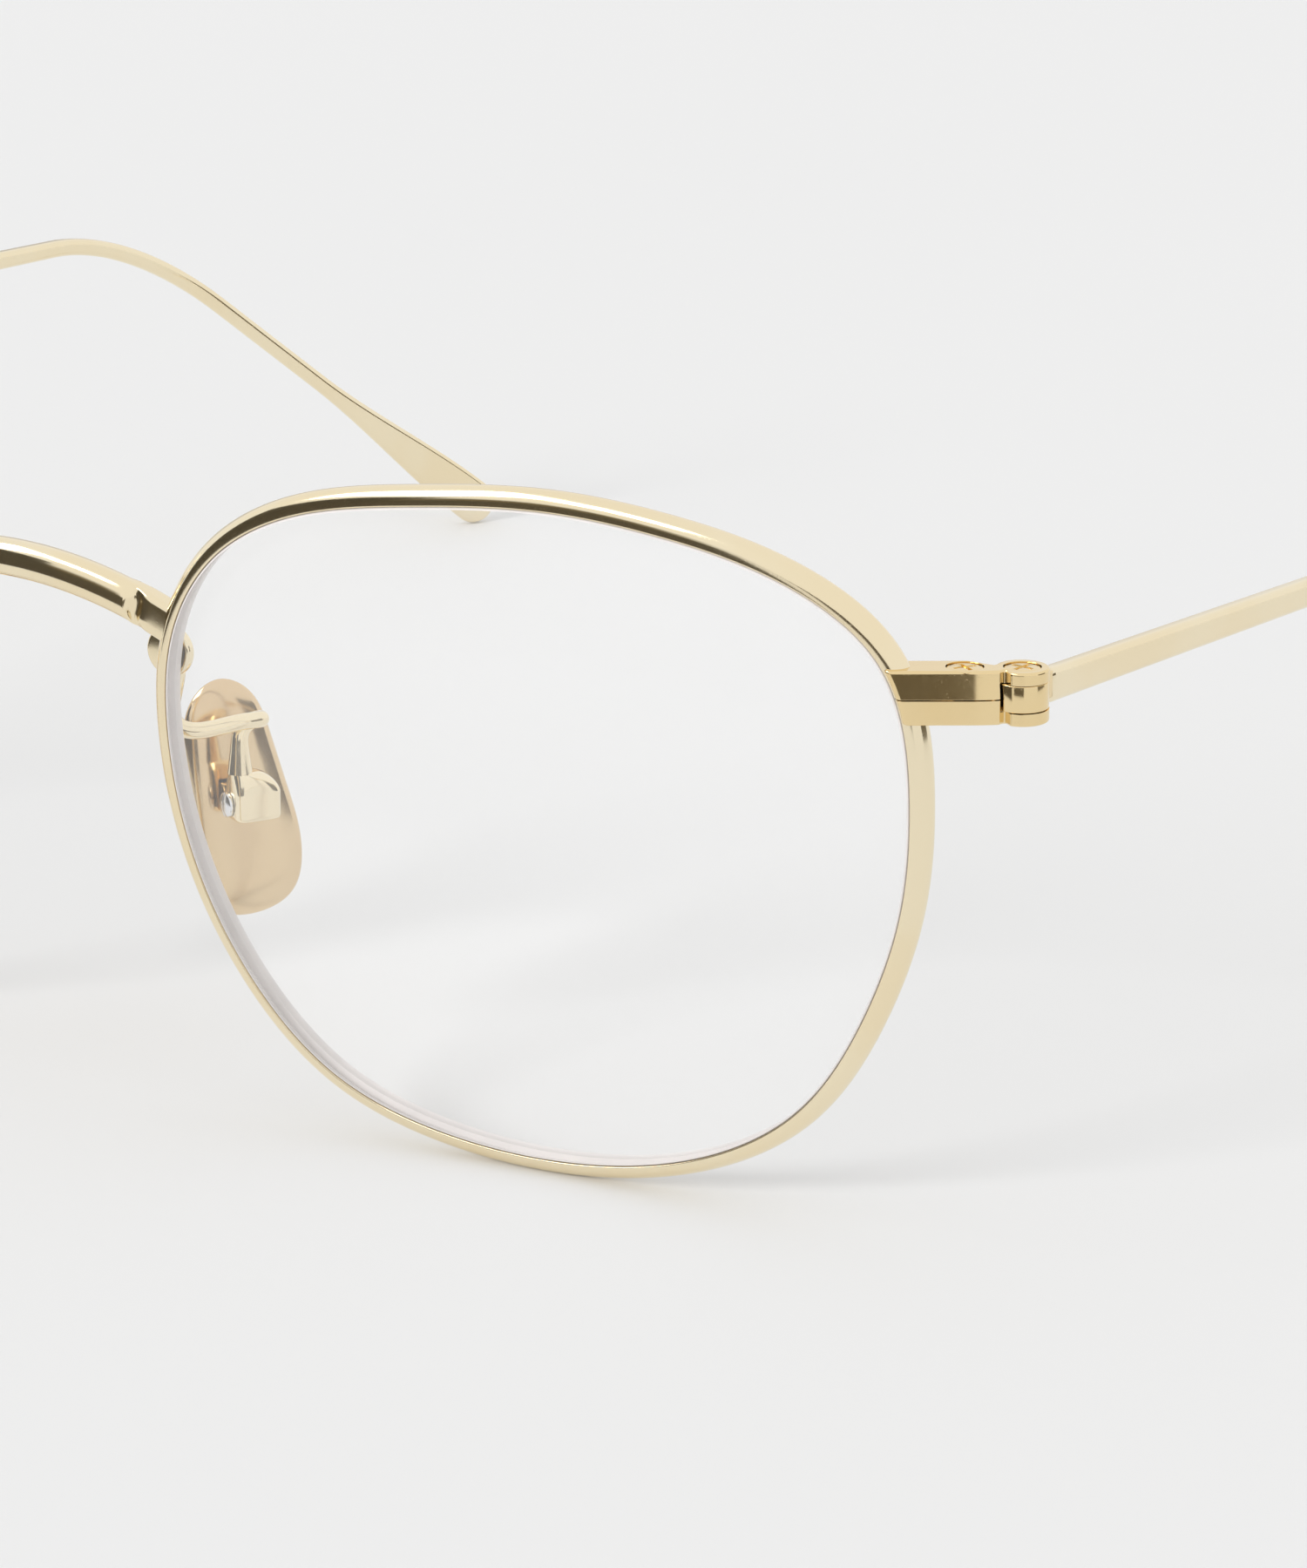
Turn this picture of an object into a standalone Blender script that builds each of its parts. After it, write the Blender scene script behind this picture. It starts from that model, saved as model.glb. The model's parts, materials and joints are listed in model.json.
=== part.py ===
"""A pair of full-rim metal eyeglasses, open and standing on its rims and temple tips.

Everything is designed for the wearer's left side (+X) and mirrored to the right. The front faces -Y, the
temples run back along +Y and +Z is up. Each lens is a meniscus in a grooved eyewire. The eyewire's two
ends meet the two halves of a closing block, which one screw draws together. The block's outer end
carries the upper and lower knuckles of the temple hinge. The nose pads rock on small screws, each in a
box on the end of a bent arm. The finished model is moved so that its origin is the middle of its
footprint.
"""

import math

import bmesh
import bpy
import numpy as np
from mathutils import Matrix, Vector

MM = 0.001

# Lens and eyewire
LENS_WIDTH = 48.4 * MM  # across the eyewire's centreline
LENS_HEIGHT = 40.6 * MM
BRIDGE_GAP = 21.2 * MM  # between the two centrelines on the nose side
LENS_RADIUS = 117.0 * MM  # of the ball that the lens is cut from
LENS_THICKNESS = 1.8 * MM
LENS_BEVEL_PLACE = 0.42  # the bevel's peak, as a share of the thickness, from the front
TILT = math.radians(5.7)  # the top of the lens leans forwards
WRAP = math.radians(3.2)  # the outer edge of the lens goes back
WIRE_WIDTH = 1.0 * MM  # across the rim, in the lens plane
WIRE_DEPTH = 1.6 * MM  # front to back
WIRE_LIP = 0.3  # the flat front and back lips, as a share of the width; the rest is rounded
GROOVE_DEPTH = 0.32 * MM
GROOVE_WIDTH = 1.1 * MM
LENS_CLEARANCE = 0.04 * MM

# The eyewire's outline, as shares of half the width (outwards) and half the height (upwards)
RIM_SHAPE = (
    (1.0, 0.245), (0.924, 0.655), (0.699, 0.858), (0.397, 0.959), (0.10, 0.992), (-0.248, 0.958),
    (-0.595, 0.869), (-0.84, 0.692), (-0.974, 0.427), (-1.0, 0.13), (-0.954, -0.217),
    (-0.816, -0.576), (-0.586, -0.857), (-0.278, -0.98), (0.06, -1.002), (0.396, -0.928),
    (0.68, -0.73), (0.87, -0.403), (0.973, -0.065),
)
RIM_STATIONS = 64

# Bridge
BRIDGE_RISE = 12.1 * MM  # its middle, above the lens centre
BRIDGE_ARCH_RADIUS = 24.0 * MM
BRIDGE_BOW = 0.9 * MM  # how far its middle stands in front of its ends
BRIDGE_DIAMETER = 2.25 * MM
BRIDGE_FOOT_HEIGHT = 2.25 * MM
BRIDGE_FOOT_DEPTH = 1.6 * MM
BRIDGE_FOOT_LENGTH = 2.6 * MM

# Closing block and hinge, in the block's own frame: +X along it to the hinge axis, +Y to its back
BLOCK_RISE = 11.4 * MM  # its middle, above the lens centre
BLOCK_SWEEP = math.radians(31.0)  # how far it turns back from the lens plane
BLOCK_HEIGHT = 3.0 * MM
BLOCK_FRONT = 1.2 * MM  # front face, before the hinge axis
BLOCK_BACK = 1.25 * MM
BLOCK_LENGTH = 6.05 * MM  # rim centreline to hinge axis
BLOCK_RIM_INSET = 1.0 * MM  # rim centreline, behind the front face
BLOCK_OVERHANG = 0.3 * MM  # past the rim's centreline, over the lens side
SPLIT_DROP = 0.1 * MM  # the split between its halves, below its middle
NOTCH_PLACE = 0.9 * MM  # the groove before the hinge, from its axis
NOTCH_WIDTH = 0.4 * MM
NOTCH_DEPTH = 0.28 * MM
BLOCK_CORNER = 1.1 * MM  # cut off the back of the rim end, clear of the lens
RELIEF_LENGTH = 2.9 * MM  # the back of the hinge end is cut away so that the temple can fold
SPLIT_GAP = 0.06 * MM
BRAZE_GAP = 0.04 * MM  # between pieces that are brazed face to face
KNUCKLE_RADIUS = 1.5 * MM
KNUCKLE_HEIGHT = 1.5 * MM  # the temple's middle knuckle
KNUCKLE_GAP = 0.04 * MM
CLOSING_SCREW_PLACE = 3.1 * MM  # from the hinge axis
SCREW_RADIUS = 0.6 * MM
SCREW_HEAD_RADIUS = 1.0 * MM
SCREW_HEAD_HEIGHT = 0.42 * MM
SCREW_CLEARANCE = 0.05 * MM
SCREW_SLOT = 0.28 * MM

# Temple, in the hinge's frame: +Y back along it
TEMPLE_LENGTH = 97.3 * MM  # hinge axis to the bend
TEMPLE_FALL = math.radians(3.5)
TEMPLE_SPLAY = math.radians(1.4)
TEMPLE_START = 2.35 * MM  # behind the hinge axis
TEMPLE_HEIGHT = 1.95 * MM
TEMPLE_THICKNESS = 1.1 * MM
TEMPLE_WAIST = 1.25 * MM  # height and thickness at the bend
BEND_RADIUS = 22.0 * MM
TIP_LENGTH = 39.4 * MM  # the bend's corner to the end
TIP_DROP = math.radians(40.1)
TIP_INWARD = math.radians(35.5)
TIP_WIDTH = 3.4 * MM
TIP_THICKNESS = 1.0 * MM
TIP_FLARE = 19.0 * MM  # the stretch that widens to the tip

# Nose pads, in the box's frame: +X along the pad screw, +Y towards the nose
PAD_PIVOT = (11.45 * MM, 7.85 * MM, -3.15 * MM)  # across, back, and up from the lens centre
PAD_SPLAY = math.radians(30.0)
PAD_LEAN = math.radians(6.2)
PAD_LENGTH = 13.9 * MM
PAD_WIDTH = 7.8 * MM
PAD_THICKNESS = 1.6 * MM
PAD_STANDOFF = 2.3 * MM  # pad's middle, from the screw
PAD_DROP = 0.3 * MM
PAD_SHAPE = (
    (-0.16, 1.06), (0.34, 0.94), (0.65, 0.56), (0.89, 0.05), (1.06, -0.48), (0.89, -0.84),
    (0.25, -1.0), (-0.40, -0.92), (-0.68, -0.55), (-0.76, 0.0), (-0.78, 0.5), (-0.61, 0.9),
)
BOX_WIDTH = 2.9 * MM
BOX_HEIGHT = 3.05 * MM
BOX_DROP = 0.95 * MM  # its bottom, below the screw
BOX_WALL = 0.45 * MM
BOX_REACH = 0.8 * MM  # its cheeks, past the screw towards the pad
TAB_RADIUS = 0.9 * MM
TAB_CLEARANCE = 0.07 * MM
PAD_SCREW_RADIUS = 0.38 * MM
PAD_SCREW_HEAD_RADIUS = 0.75 * MM
PAD_SCREW_HEAD_HEIGHT = 0.35 * MM
ARM_DIAMETER = 1.0 * MM
ARM_FOOT_RADIUS = 1.5 * MM
ARM_FOOT_THICKNESS = 0.7 * MM
ARM_FOOT_RISE = 7.2 * MM  # above the lens centre
ARM_FOOT_PLACE = 0.75 * MM  # from the rim's centreline towards the nose
# The wire's route: from the foot's middle, and then from the screw in the pad's box
ARM_FROM_FOOT = ((-0.1, 1.0, -0.5), (-0.45, 1.15, -2.3), (-0.55, 1.15, -4.1))
ARM_TO_BOX = (
    (-0.9, -3.9, 5.2), (0.3, -2.5, 5.35), (1.0, -1.3, 5.4), (1.1, -0.4, 5.3), (0.7, 0.1, 5.1),
    (0.2, -0.1, 4.7), (-0.02, -0.7, 4.1), (-0.06, -1.0, 3.3), (-0.06, -1.0, 2.2),
)


def mirror_x():
    return Matrix.Diagonal((-1.0, 1.0, 1.0, 1.0))


def material(name, colour, metallic, roughness, alpha=1.0):
    made = bpy.data.materials.new(name)
    made.use_nodes = True
    shader = made.node_tree.nodes["Principled BSDF"]
    shader.inputs["Base Color"].default_value = (*colour, 1.0)
    shader.inputs["Metallic"].default_value = metallic
    shader.inputs["Roughness"].default_value = roughness
    shader.inputs["Alpha"].default_value = alpha
    made.diffuse_color = (*colour, alpha)
    return made


GOLD = material("polished_gold", (0.83, 0.66, 0.36), 1.0, 0.14)
PAD_GOLD = material("pad_gold", (0.80, 0.60, 0.34), 1.0, 0.22)
SCREW_STEEL = material("screw_steel", (0.78, 0.76, 0.72), 1.0, 0.22)
CLEAR_LENS = material("clear_lens", (0.96, 0.97, 0.97), 0.0, 0.04, 0.22)


class ClosedSpline:
    """The smooth closed curve through some points, measured along its chords."""

    def __init__(self, points):
        self.points = np.array(points, float)
        step = np.roll(self.points, -1, 0) - self.points
        self.gaps = np.linalg.norm(step, axis=1)
        self.knots = np.concatenate([[0.0], np.cumsum(self.gaps)])
        self.length = self.knots[-1]
        count = len(self.points)
        slope = step / self.gaps[:, None]
        system = np.zeros((count, count))
        for i in range(count):
            system[i, i - 1] += self.gaps[i - 1]
            system[i, i] += 2 * (self.gaps[i - 1] + self.gaps[i])
            system[i, (i + 1) % count] += self.gaps[i]
        self.bends = np.linalg.solve(system, 6 * (slope - np.roll(slope, 1, 0)))

    def at(self, place):
        """The point and the unit direction there."""
        place %= self.length
        i = int(np.searchsorted(self.knots, place, side="right")) - 1
        j = (i + 1) % len(self.points)
        gap = self.gaps[i]
        after = (place - self.knots[i]) / gap
        before = 1.0 - after
        bend = (before**3 - before) * self.bends[i] + (after**3 - after) * self.bends[j]
        point = before * self.points[i] + after * self.points[j] + bend * gap**2 / 6
        turn = (1 - 3 * before**2) * self.bends[i] + (3 * after**2 - 1) * self.bends[j]
        direction = (self.points[j] - self.points[i]) / gap + turn * gap / 6
        return point, direction / np.linalg.norm(direction)


def open_spline(points, count):
    """Points evenly spaced in the parameter of a smooth curve through the given ones."""
    knots = np.arange(len(points))
    values = np.array([tuple(p) for p in points])
    system = np.zeros((len(points), len(points)))
    right = np.zeros_like(values)
    system[0, 0] = system[-1, -1] = 1.0
    for i in range(1, len(points) - 1):
        system[i, i - 1 : i + 2] = 1.0, 4.0, 1.0
        right[i] = 6 * (values[i - 1] - 2 * values[i] + values[i + 1])
    bends = np.linalg.solve(system, right)
    found = []
    for place in np.linspace(0, knots[-1], count):
        i = min(int(place), len(points) - 2)
        after = place - i
        before = 1 - after
        bend = (before**3 - before) * bends[i] + (after**3 - after) * bends[i + 1]
        found.append(Vector(before * values[i] + after * values[i + 1] + bend / 6))
    return found


# ---- mesh helpers ----


def add_object(name, bm, matrix, surface, smooth_angle=None):
    """Makes the left piece from the mesh."""
    bmesh.ops.recalc_face_normals(bm, faces=bm.faces)
    mesh = bpy.data.meshes.new(name)
    bm.to_mesh(mesh)
    bm.free()
    if smooth_angle is not None:
        mesh.shade_smooth()
        mesh.set_sharp_from_angle(angle=math.radians(smooth_angle))
    made = bpy.data.objects.new(name, mesh)
    bpy.context.scene.collection.objects.link(made)
    made.matrix_world = matrix
    if surface is not None:
        mesh.materials.append(surface)
    return made


def add_pair(name, build, matrix, surface, parents=None, cutters=(), smooth_angle=None):
    """Makes name_left from build() and its mirror image name_right, each cut by its own cutters."""
    pair = []
    for index, side in enumerate(("left", "right")):
        bm = build()
        place = matrix
        if side == "right":
            bmesh.ops.transform(bm, matrix=mirror_x(), verts=bm.verts)
            place = mirror_x() @ matrix @ mirror_x()
        made = add_object(f"{name}_{side}", bm, place, surface, smooth_angle)
        parent = (parents or ROOTS)[index]
        made.parent = parent
        made.matrix_parent_inverse = parent.matrix_world.inverted()
        for cutter in cutters:
            cut = made.modifiers.new(f"cut by {cutter[index].name}", "BOOLEAN")
            cut.operation = "DIFFERENCE"
            cut.object = cutter[index]
        pair.append(made)
    return pair


def add_cutters(name, build, matrix):
    pair = add_pair(name, build, matrix, None)
    for cutter in pair:
        cutter.hide_render = True
        cutter.display_type = "WIRE"
    return pair


def add_empties(name, matrix, parents=None):
    """An empty on each side, to carry pieces that turn about its axis."""
    pair = []
    for index, side in enumerate(("left", "right")):
        made = bpy.data.objects.new(f"{name}_{side}", None)
        bpy.context.scene.collection.objects.link(made)
        made.empty_display_size = 5 * MM
        made.matrix_world = matrix if side == "left" else mirror_x() @ matrix @ mirror_x()
        if parents:
            made.parent = parents[index]
            made.matrix_parent_inverse = parents[index].matrix_world.inverted()
        pair.append(made)
    bpy.context.view_layer.update()
    return pair


def loft(rings, capped=True):
    """A skin through rings of equally many points; it closes on itself where it isn't capped."""
    bm = bmesh.new()
    rows = [[bm.verts.new(p) for p in ring] for ring in rings]
    pairs = list(zip(rows, rows[1:]))
    if not capped:
        pairs.append((rows[-1], rows[0]))
    for low, high in pairs:
        for i in range(len(low)):
            j = (i + 1) % len(low)
            bm.faces.new((low[i], low[j], high[j], high[i]))
    if capped:
        bm.faces.new(rows[0])
        bm.faces.new(rows[-1])
    return bm


def domed(rings, low_peak, high_peak):
    """A skin through rings that narrow to a point at each end."""
    bm = bmesh.new()
    rows = [[bm.verts.new(p) for p in ring] for ring in rings]
    for low, high in zip(rows, rows[1:]):
        for i in range(len(low)):
            j = (i + 1) % len(low)
            bm.faces.new((low[i], low[j], high[j], high[i]))
    for peak, row in ((low_peak, rows[0]), (high_peak, rows[-1])):
        tip = bm.verts.new(peak)
        for i in range(len(row)):
            bm.faces.new((row[i], row[(i + 1) % len(row)], tip))
    return bm


def turned(profile, sides):
    """A solid of revolution about Z from its (radius, height) points."""
    rings = []
    for radius, height in profile:
        turns = [2 * math.pi * i / sides for i in range(sides)]
        rings.append([(radius * math.cos(t), radius * math.sin(t), height) for t in turns])
    return loft(rings)


def prism(outline, low, high):
    return loft([[(x, y, z) for x, y in outline] for z in (low, high)])


def box(size, middle):
    bm = bmesh.new()
    bmesh.ops.create_cube(bm, size=1.0)
    bmesh.ops.scale(bm, vec=size, verts=bm.verts)
    bmesh.ops.translate(bm, vec=middle, verts=bm.verts)
    return bm


def arc(radius, start, end, steps):
    """Points on a circle about the origin, between two angles in degrees."""
    angles = [math.radians(start + (end - start) * i / steps) for i in range(steps + 1)]
    return [(radius * math.cos(a), radius * math.sin(a)) for a in angles]


# ---- where things are, on the left side ----

RIM = ClosedSpline([(x * LENS_WIDTH / 2, z * LENS_HEIGHT / 2) for x, z in RIM_SHAPE])
LENS_CENTRE = Vector(((BRIDGE_GAP + LENS_WIDTH * math.cos(WRAP)) / 2, 0.0, LENS_HEIGHT / 2))
LENS_PLACE = Matrix.Translation(LENS_CENTRE) @ Matrix.Rotation(WRAP, 4, "Z")
LENS_PLACE = LENS_PLACE @ Matrix.Rotation(TILT, 4, "X")


def bulge(x, z):
    """How far the lens surface curves back at a place in the lens plane."""
    return LENS_RADIUS - math.sqrt(LENS_RADIUS**2 - x * x - z * z)


def rim_point(place, outward=0.0, depth=0.0):
    """A point beside the rim's centreline, in the lens frame."""
    (x, z), (across, up) = RIM.at(place)
    x += up * outward
    z -= across * outward
    return Vector((x, bulge(x, z) + depth, z))


def rim_place_at(height, outer):
    """Where the rim's centreline reaches a height, on its outer side or its nose side."""
    places = np.linspace(0, RIM.length, 1441)
    points = [LENS_PLACE @ rim_point(p) for p in places]
    for i in range(1440):
        low, high = points[i].z, points[i + 1].z
        on_side = (points[i].x > LENS_CENTRE.x) == outer
        if on_side and low != high and min(low, high) <= height <= max(low, high):
            return places[i] + (height - low) / (high - low) * (places[i + 1] - places[i])
    raise ValueError("the rim doesn't reach this height")


BLOCK_Z = LENS_CENTRE.z + BLOCK_RISE
BLOCK_TURN = Matrix.Rotation(BLOCK_SWEEP, 4, "Z")
RIM_AT_BLOCK = LENS_PLACE @ rim_point(rim_place_at(BLOCK_Z, outer=True))
HINGE = RIM_AT_BLOCK + BLOCK_TURN @ Vector((BLOCK_LENGTH, BLOCK_FRONT - BLOCK_RIM_INSET, 0.0))
BLOCK_PLACE = Matrix.Translation(HINGE) @ BLOCK_TURN
TEMPLE_PLACE = Matrix.Translation(HINGE) @ Matrix.Rotation(-TEMPLE_SPLAY, 4, "Z")
PAD_PIVOT_POINT = Vector((0.0, 0.0, LENS_CENTRE.z)) + Vector(PAD_PIVOT)
BOX_PLACE = Matrix.Translation(PAD_PIVOT_POINT)
BOX_PLACE = BOX_PLACE @ Matrix.Rotation(math.radians(90.0) - PAD_SPLAY, 4, "Z")
PAD_PLACE = BOX_PLACE @ Matrix.Rotation(-PAD_LEAN, 4, "X")


# ---- pieces ----


def eyewire():
    """The grooved wire, from the closing block's top face round the lens to its bottom face."""
    half_width = WIRE_WIDTH / 2
    half_depth = WIRE_DEPTH / 2
    lip = WIRE_LIP * WIRE_WIDTH
    round_width = WIRE_WIDTH - lip
    front = []
    for angle in (15.0, 40.0, 65.0, 90.0):
        turn = math.radians(angle)
        front.append((lip - half_width + round_width * math.cos(turn), -half_depth * math.sin(turn)))
    front += [(lip / 3 - half_width, -half_depth), (-half_width, lip / 3 - half_depth)]
    front.append((-half_width, -GROOVE_WIDTH / 2))
    section = front + [(GROOVE_DEPTH - half_width, 0.0)] + [(r, -d) for r, d in reversed(front)]
    ends = []
    for face in (1, -1):
        ends.append(BLOCK_Z + face * (BLOCK_HEIGHT / 2 + BRAZE_GAP))
    start = rim_place_at(ends[0], outer=True)
    stop = rim_place_at(ends[1], outer=True)
    if stop < start:
        stop += RIM.length
    places = np.linspace(start, stop, RIM_STATIONS + 1)
    rings = [[rim_point(p, r, d) for r, d in section] for p in places]
    to_lens = LENS_PLACE.inverted()
    for ring, place, height in ((rings[0], start, ends[0]), (rings[-1], stop, ends[1])):
        along = (LENS_PLACE @ rim_point(place + 0.1 * MM)) - (LENS_PLACE @ rim_point(place))
        for i, point in enumerate(ring):
            world = LENS_PLACE @ point
            ring[i] = to_lens @ (world + along * (height - world.z) / along.z)
    return loft(rings)


def lens():
    """A meniscus whose bevelled edge sits in the eyewire's groove."""
    edge = -WIRE_WIDTH / 2 - LENS_CLEARANCE
    peak = edge + GROOVE_DEPTH - LENS_CLEARANCE / 2
    shoulder = GROOVE_WIDTH / 2 - 2 * LENS_CLEARANCE
    front = -LENS_BEVEL_PLACE * LENS_THICKNESS
    back = front + LENS_THICKNESS
    places = np.linspace(0, RIM.length, RIM_STATIONS, endpoint=False)
    rings = []
    for share, depth in ((0.35, front), (0.7, front)):
        rings.append([scaled(rim_point(p, edge), share, depth) for p in places])
    for outward, depth in ((edge, front), (edge, -shoulder), (peak, 0.0), (edge, shoulder), (edge, back)):
        rings.append([rim_point(p, outward, depth) for p in places])
    for share, depth in ((0.7, back), (0.35, back)):
        rings.append([scaled(rim_point(p, edge), share, depth) for p in places])
    return domed(rings, (0, front, 0), (0, back, 0))


def scaled(point, share, depth):
    x = point.x * share
    z = point.z * share
    return Vector((x, bulge(x, z) + depth, z))


def bridge():
    """A round arched bar with narrower feet that butt against the rims."""
    height = LENS_CENTRE.z + BRIDGE_RISE - 2.6 * MM
    rim_place = rim_place_at(height, outer=False)
    side = LENS_PLACE @ rim_point(rim_place, WIRE_WIDTH / 2 + BRAZE_GAP)
    outwards = side - LENS_PLACE @ rim_point(rim_place)
    reach = side.x
    sides = 16
    turns = [2 * math.pi * (i + 0.5) / sides for i in range(sides)]

    def middle(x):
        drop = BRIDGE_ARCH_RADIUS - math.sqrt(BRIDGE_ARCH_RADIUS**2 - x * x)
        back = side.y + BRIDGE_BOW * ((x / reach) ** 2 - 1.0)
        return Vector((x, back, LENS_CENTRE.z + BRIDGE_RISE - drop))

    def ring(x, high, deep):
        along = (middle(x + 0.01 * MM) - middle(x - 0.01 * MM)).normalized()
        up = (Vector((0, 0, 1)) - along * along.z).normalized()
        across = up.cross(along)
        here = middle(x)
        return [here + up * high / 2 * math.sin(t) + across * deep / 2 * math.cos(t) for t in turns]

    foot = reach - BRIDGE_FOOT_LENGTH
    half = [ring(foot * i / 6, BRIDGE_DIAMETER, BRIDGE_DIAMETER) for i in range(7)]
    half.append(ring(foot + 0.4 * MM, BRIDGE_FOOT_HEIGHT, BRIDGE_FOOT_DEPTH))
    half.append(ring(reach, BRIDGE_FOOT_HEIGHT, BRIDGE_FOOT_DEPTH))
    along = (middle(reach) - middle(reach - 0.1 * MM)).normalized()
    half[-1] = [p + along * outwards.dot(side - p) / outwards.dot(along) for p in half[-1]]
    mirrored = [[Vector((-p.x, p.y, p.z)) for p in points] for points in half[:0:-1]]
    return loft(mirrored + half)


def block_outline(height):
    """The closing block from above, at one height: its rim end follows the rim's slope."""
    world = HINGE.z + height
    rim = LENS_PLACE @ rim_point(rim_place_at(world, outer=True))
    end = (BLOCK_PLACE.inverted() @ rim).x - BLOCK_OVERHANG
    front = -BLOCK_FRONT
    knuckle = math.degrees(math.asin(BLOCK_FRONT / KNUCKLE_RADIUS))
    return [
        (end, front), (-NOTCH_PLACE - NOTCH_WIDTH / 2, front), (-NOTCH_PLACE, front + NOTCH_DEPTH),
        *arc(KNUCKLE_RADIUS, knuckle - 180.0, 165.0, 18),
        (-RELIEF_LENGTH, BLOCK_BACK), (end + BLOCK_CORNER, BLOCK_BACK), (end, front + BLOCK_RIM_INSET),
    ]


def block_half(low, high):
    return loft([[(x, y, z) for x, y in block_outline(z)] for z in (low, high)])


def screw_seat(radius, below, above):
    """A cutter for a screw's shank, with a wider one for its head."""
    floor = BLOCK_HEIGHT / 2 - SCREW_HEAD_HEIGHT - SCREW_CLEARANCE
    head = SCREW_HEAD_RADIUS + SCREW_CLEARANCE
    return [(radius, below), (radius, floor), (head, floor), (head, above)]


def hinge_cutter():
    hole = SCREW_RADIUS + SCREW_CLEARANCE
    slot = KNUCKLE_HEIGHT / 2 + KNUCKLE_GAP
    wide = KNUCKLE_RADIUS + 2 * KNUCKLE_GAP
    profile = [(hole, -BLOCK_HEIGHT), (hole, -slot), (wide, -slot), (wide, slot), (hole, slot)]
    return turned(profile + screw_seat(hole, slot, BLOCK_HEIGHT)[1:], 20)


def closing_cutter():
    return turned(screw_seat(SCREW_RADIUS + SCREW_CLEARANCE, -BLOCK_HEIGHT, BLOCK_HEIGHT), 20)


def knuckle_cutter():
    radius = SCREW_RADIUS + SCREW_CLEARANCE
    return turned([(radius, -KNUCKLE_HEIGHT), (radius, KNUCKLE_HEIGHT)], 20)


def frame_screw():
    """A slotted screw, its head flush with the block's top and its end short of the block's bottom."""
    top = BLOCK_HEIGHT / 2 - 0.02 * MM
    under = top - SCREW_HEAD_HEIGHT
    end = -BLOCK_HEIGHT / 2 + 0.1 * MM
    point = 0.1 * MM
    profile = [
        (SCREW_RADIUS - point, end), (SCREW_RADIUS, end + point), (SCREW_RADIUS, under),
        (SCREW_HEAD_RADIUS, under), (SCREW_HEAD_RADIUS, top - point / 2),
        (SCREW_HEAD_RADIUS - point / 2, top),
    ]
    return turned(profile, 20)


def screw_slot():
    top = BLOCK_HEIGHT / 2
    return box((3 * SCREW_HEAD_RADIUS, SCREW_SLOT, SCREW_HEAD_HEIGHT), (0, 0, top))


def temple_knuckle():
    """The temple's middle knuckle and the neck that joins it to the strip."""
    neck = TEMPLE_THICKNESS / 2 - 0.05 * MM
    radius = KNUCKLE_RADIUS - KNUCKLE_GAP
    from_side = math.degrees(math.acos(neck / radius))
    outline = [(neck, TEMPLE_START - BRAZE_GAP), (-neck, TEMPLE_START - BRAZE_GAP)]
    outline += arc(radius, 180.0 - from_side, 360.0 + from_side, 16)
    return prism(outline, -KNUCKLE_HEIGHT / 2, KNUCKLE_HEIGHT / 2)


def temple():
    """A flat strip that narrows to a wire, bends down and inwards and flares to a flat tip."""
    first = Vector((0.0, math.cos(TEMPLE_FALL), -math.sin(TEMPLE_FALL)))
    level = math.cos(TIP_DROP)
    last = Vector((-level * math.sin(TIP_INWARD), level * math.cos(TIP_INWARD), -math.sin(TIP_DROP)))
    corner = first * TEMPLE_LENGTH
    turn = first.angle(last)
    cut = BEND_RADIUS * math.tan(turn / 2)
    sideways = (last - first * first.dot(last)).normalized()
    centre = corner - first * cut + sideways * BEND_RADIUS
    straight = TEMPLE_LENGTH - cut
    tail = TIP_LENGTH - cut

    stations = []
    for i in range(5):
        reach = TEMPLE_START + (straight - TEMPLE_START) * i / 4
        share = (reach - TEMPLE_START) / (straight - TEMPLE_START)
        size = (
            TEMPLE_HEIGHT + (TEMPLE_WAIST - TEMPLE_HEIGHT) * share,
            TEMPLE_THICKNESS + (TEMPLE_WAIST - TEMPLE_THICKNESS) * share,
        )
        stations.append((first * reach, first, size))
    for i in range(1, 10):
        angle = turn * i / 9
        radial = sideways * -math.cos(angle) + first * math.sin(angle)
        along = first * math.cos(angle) + sideways * math.sin(angle)
        stations.append((centre + radial * BEND_RADIUS, along, (TEMPLE_WAIST, TEMPLE_WAIST)))
    rounding = TIP_WIDTH / 2
    left = [TIP_FLARE * k for k in (1.0, 0.85, 0.7, 0.55, 0.4, 0.25)]
    left += [rounding * k for k in (1.0, 0.7, 0.4, 0.15, 0.02)]
    for to_end in left:
        share = min(1.0, (TIP_FLARE - to_end) / (TIP_FLARE - rounding))
        ease = share * share * (3 - 2 * share)
        width = TEMPLE_WAIST + (TIP_WIDTH - TEMPLE_WAIST) * ease
        deep = TEMPLE_WAIST + (TIP_THICKNESS - TEMPLE_WAIST) * ease
        if to_end < rounding:
            width *= math.sqrt(1 - (1 - to_end / rounding) ** 2)
        stations.append((corner + last * (TIP_LENGTH - to_end), last, (width, deep)))

    rings = []
    for point, along, (high, deep) in stations:
        up = (Vector((0, 0, 1)) - along * along.z).normalized()
        across = along.cross(up)
        bevel = 0.28 * min(high, deep)
        quarter = [(deep / 2, high / 2 - bevel), (deep / 2 - bevel, high / 2)]
        section = quarter + [(-x, y) for x, y in reversed(quarter)]
        section += [(-x, -y) for x, y in section]
        rings.append([point + across * x + up * y for x, y in section])
    return loft(rings)


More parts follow.
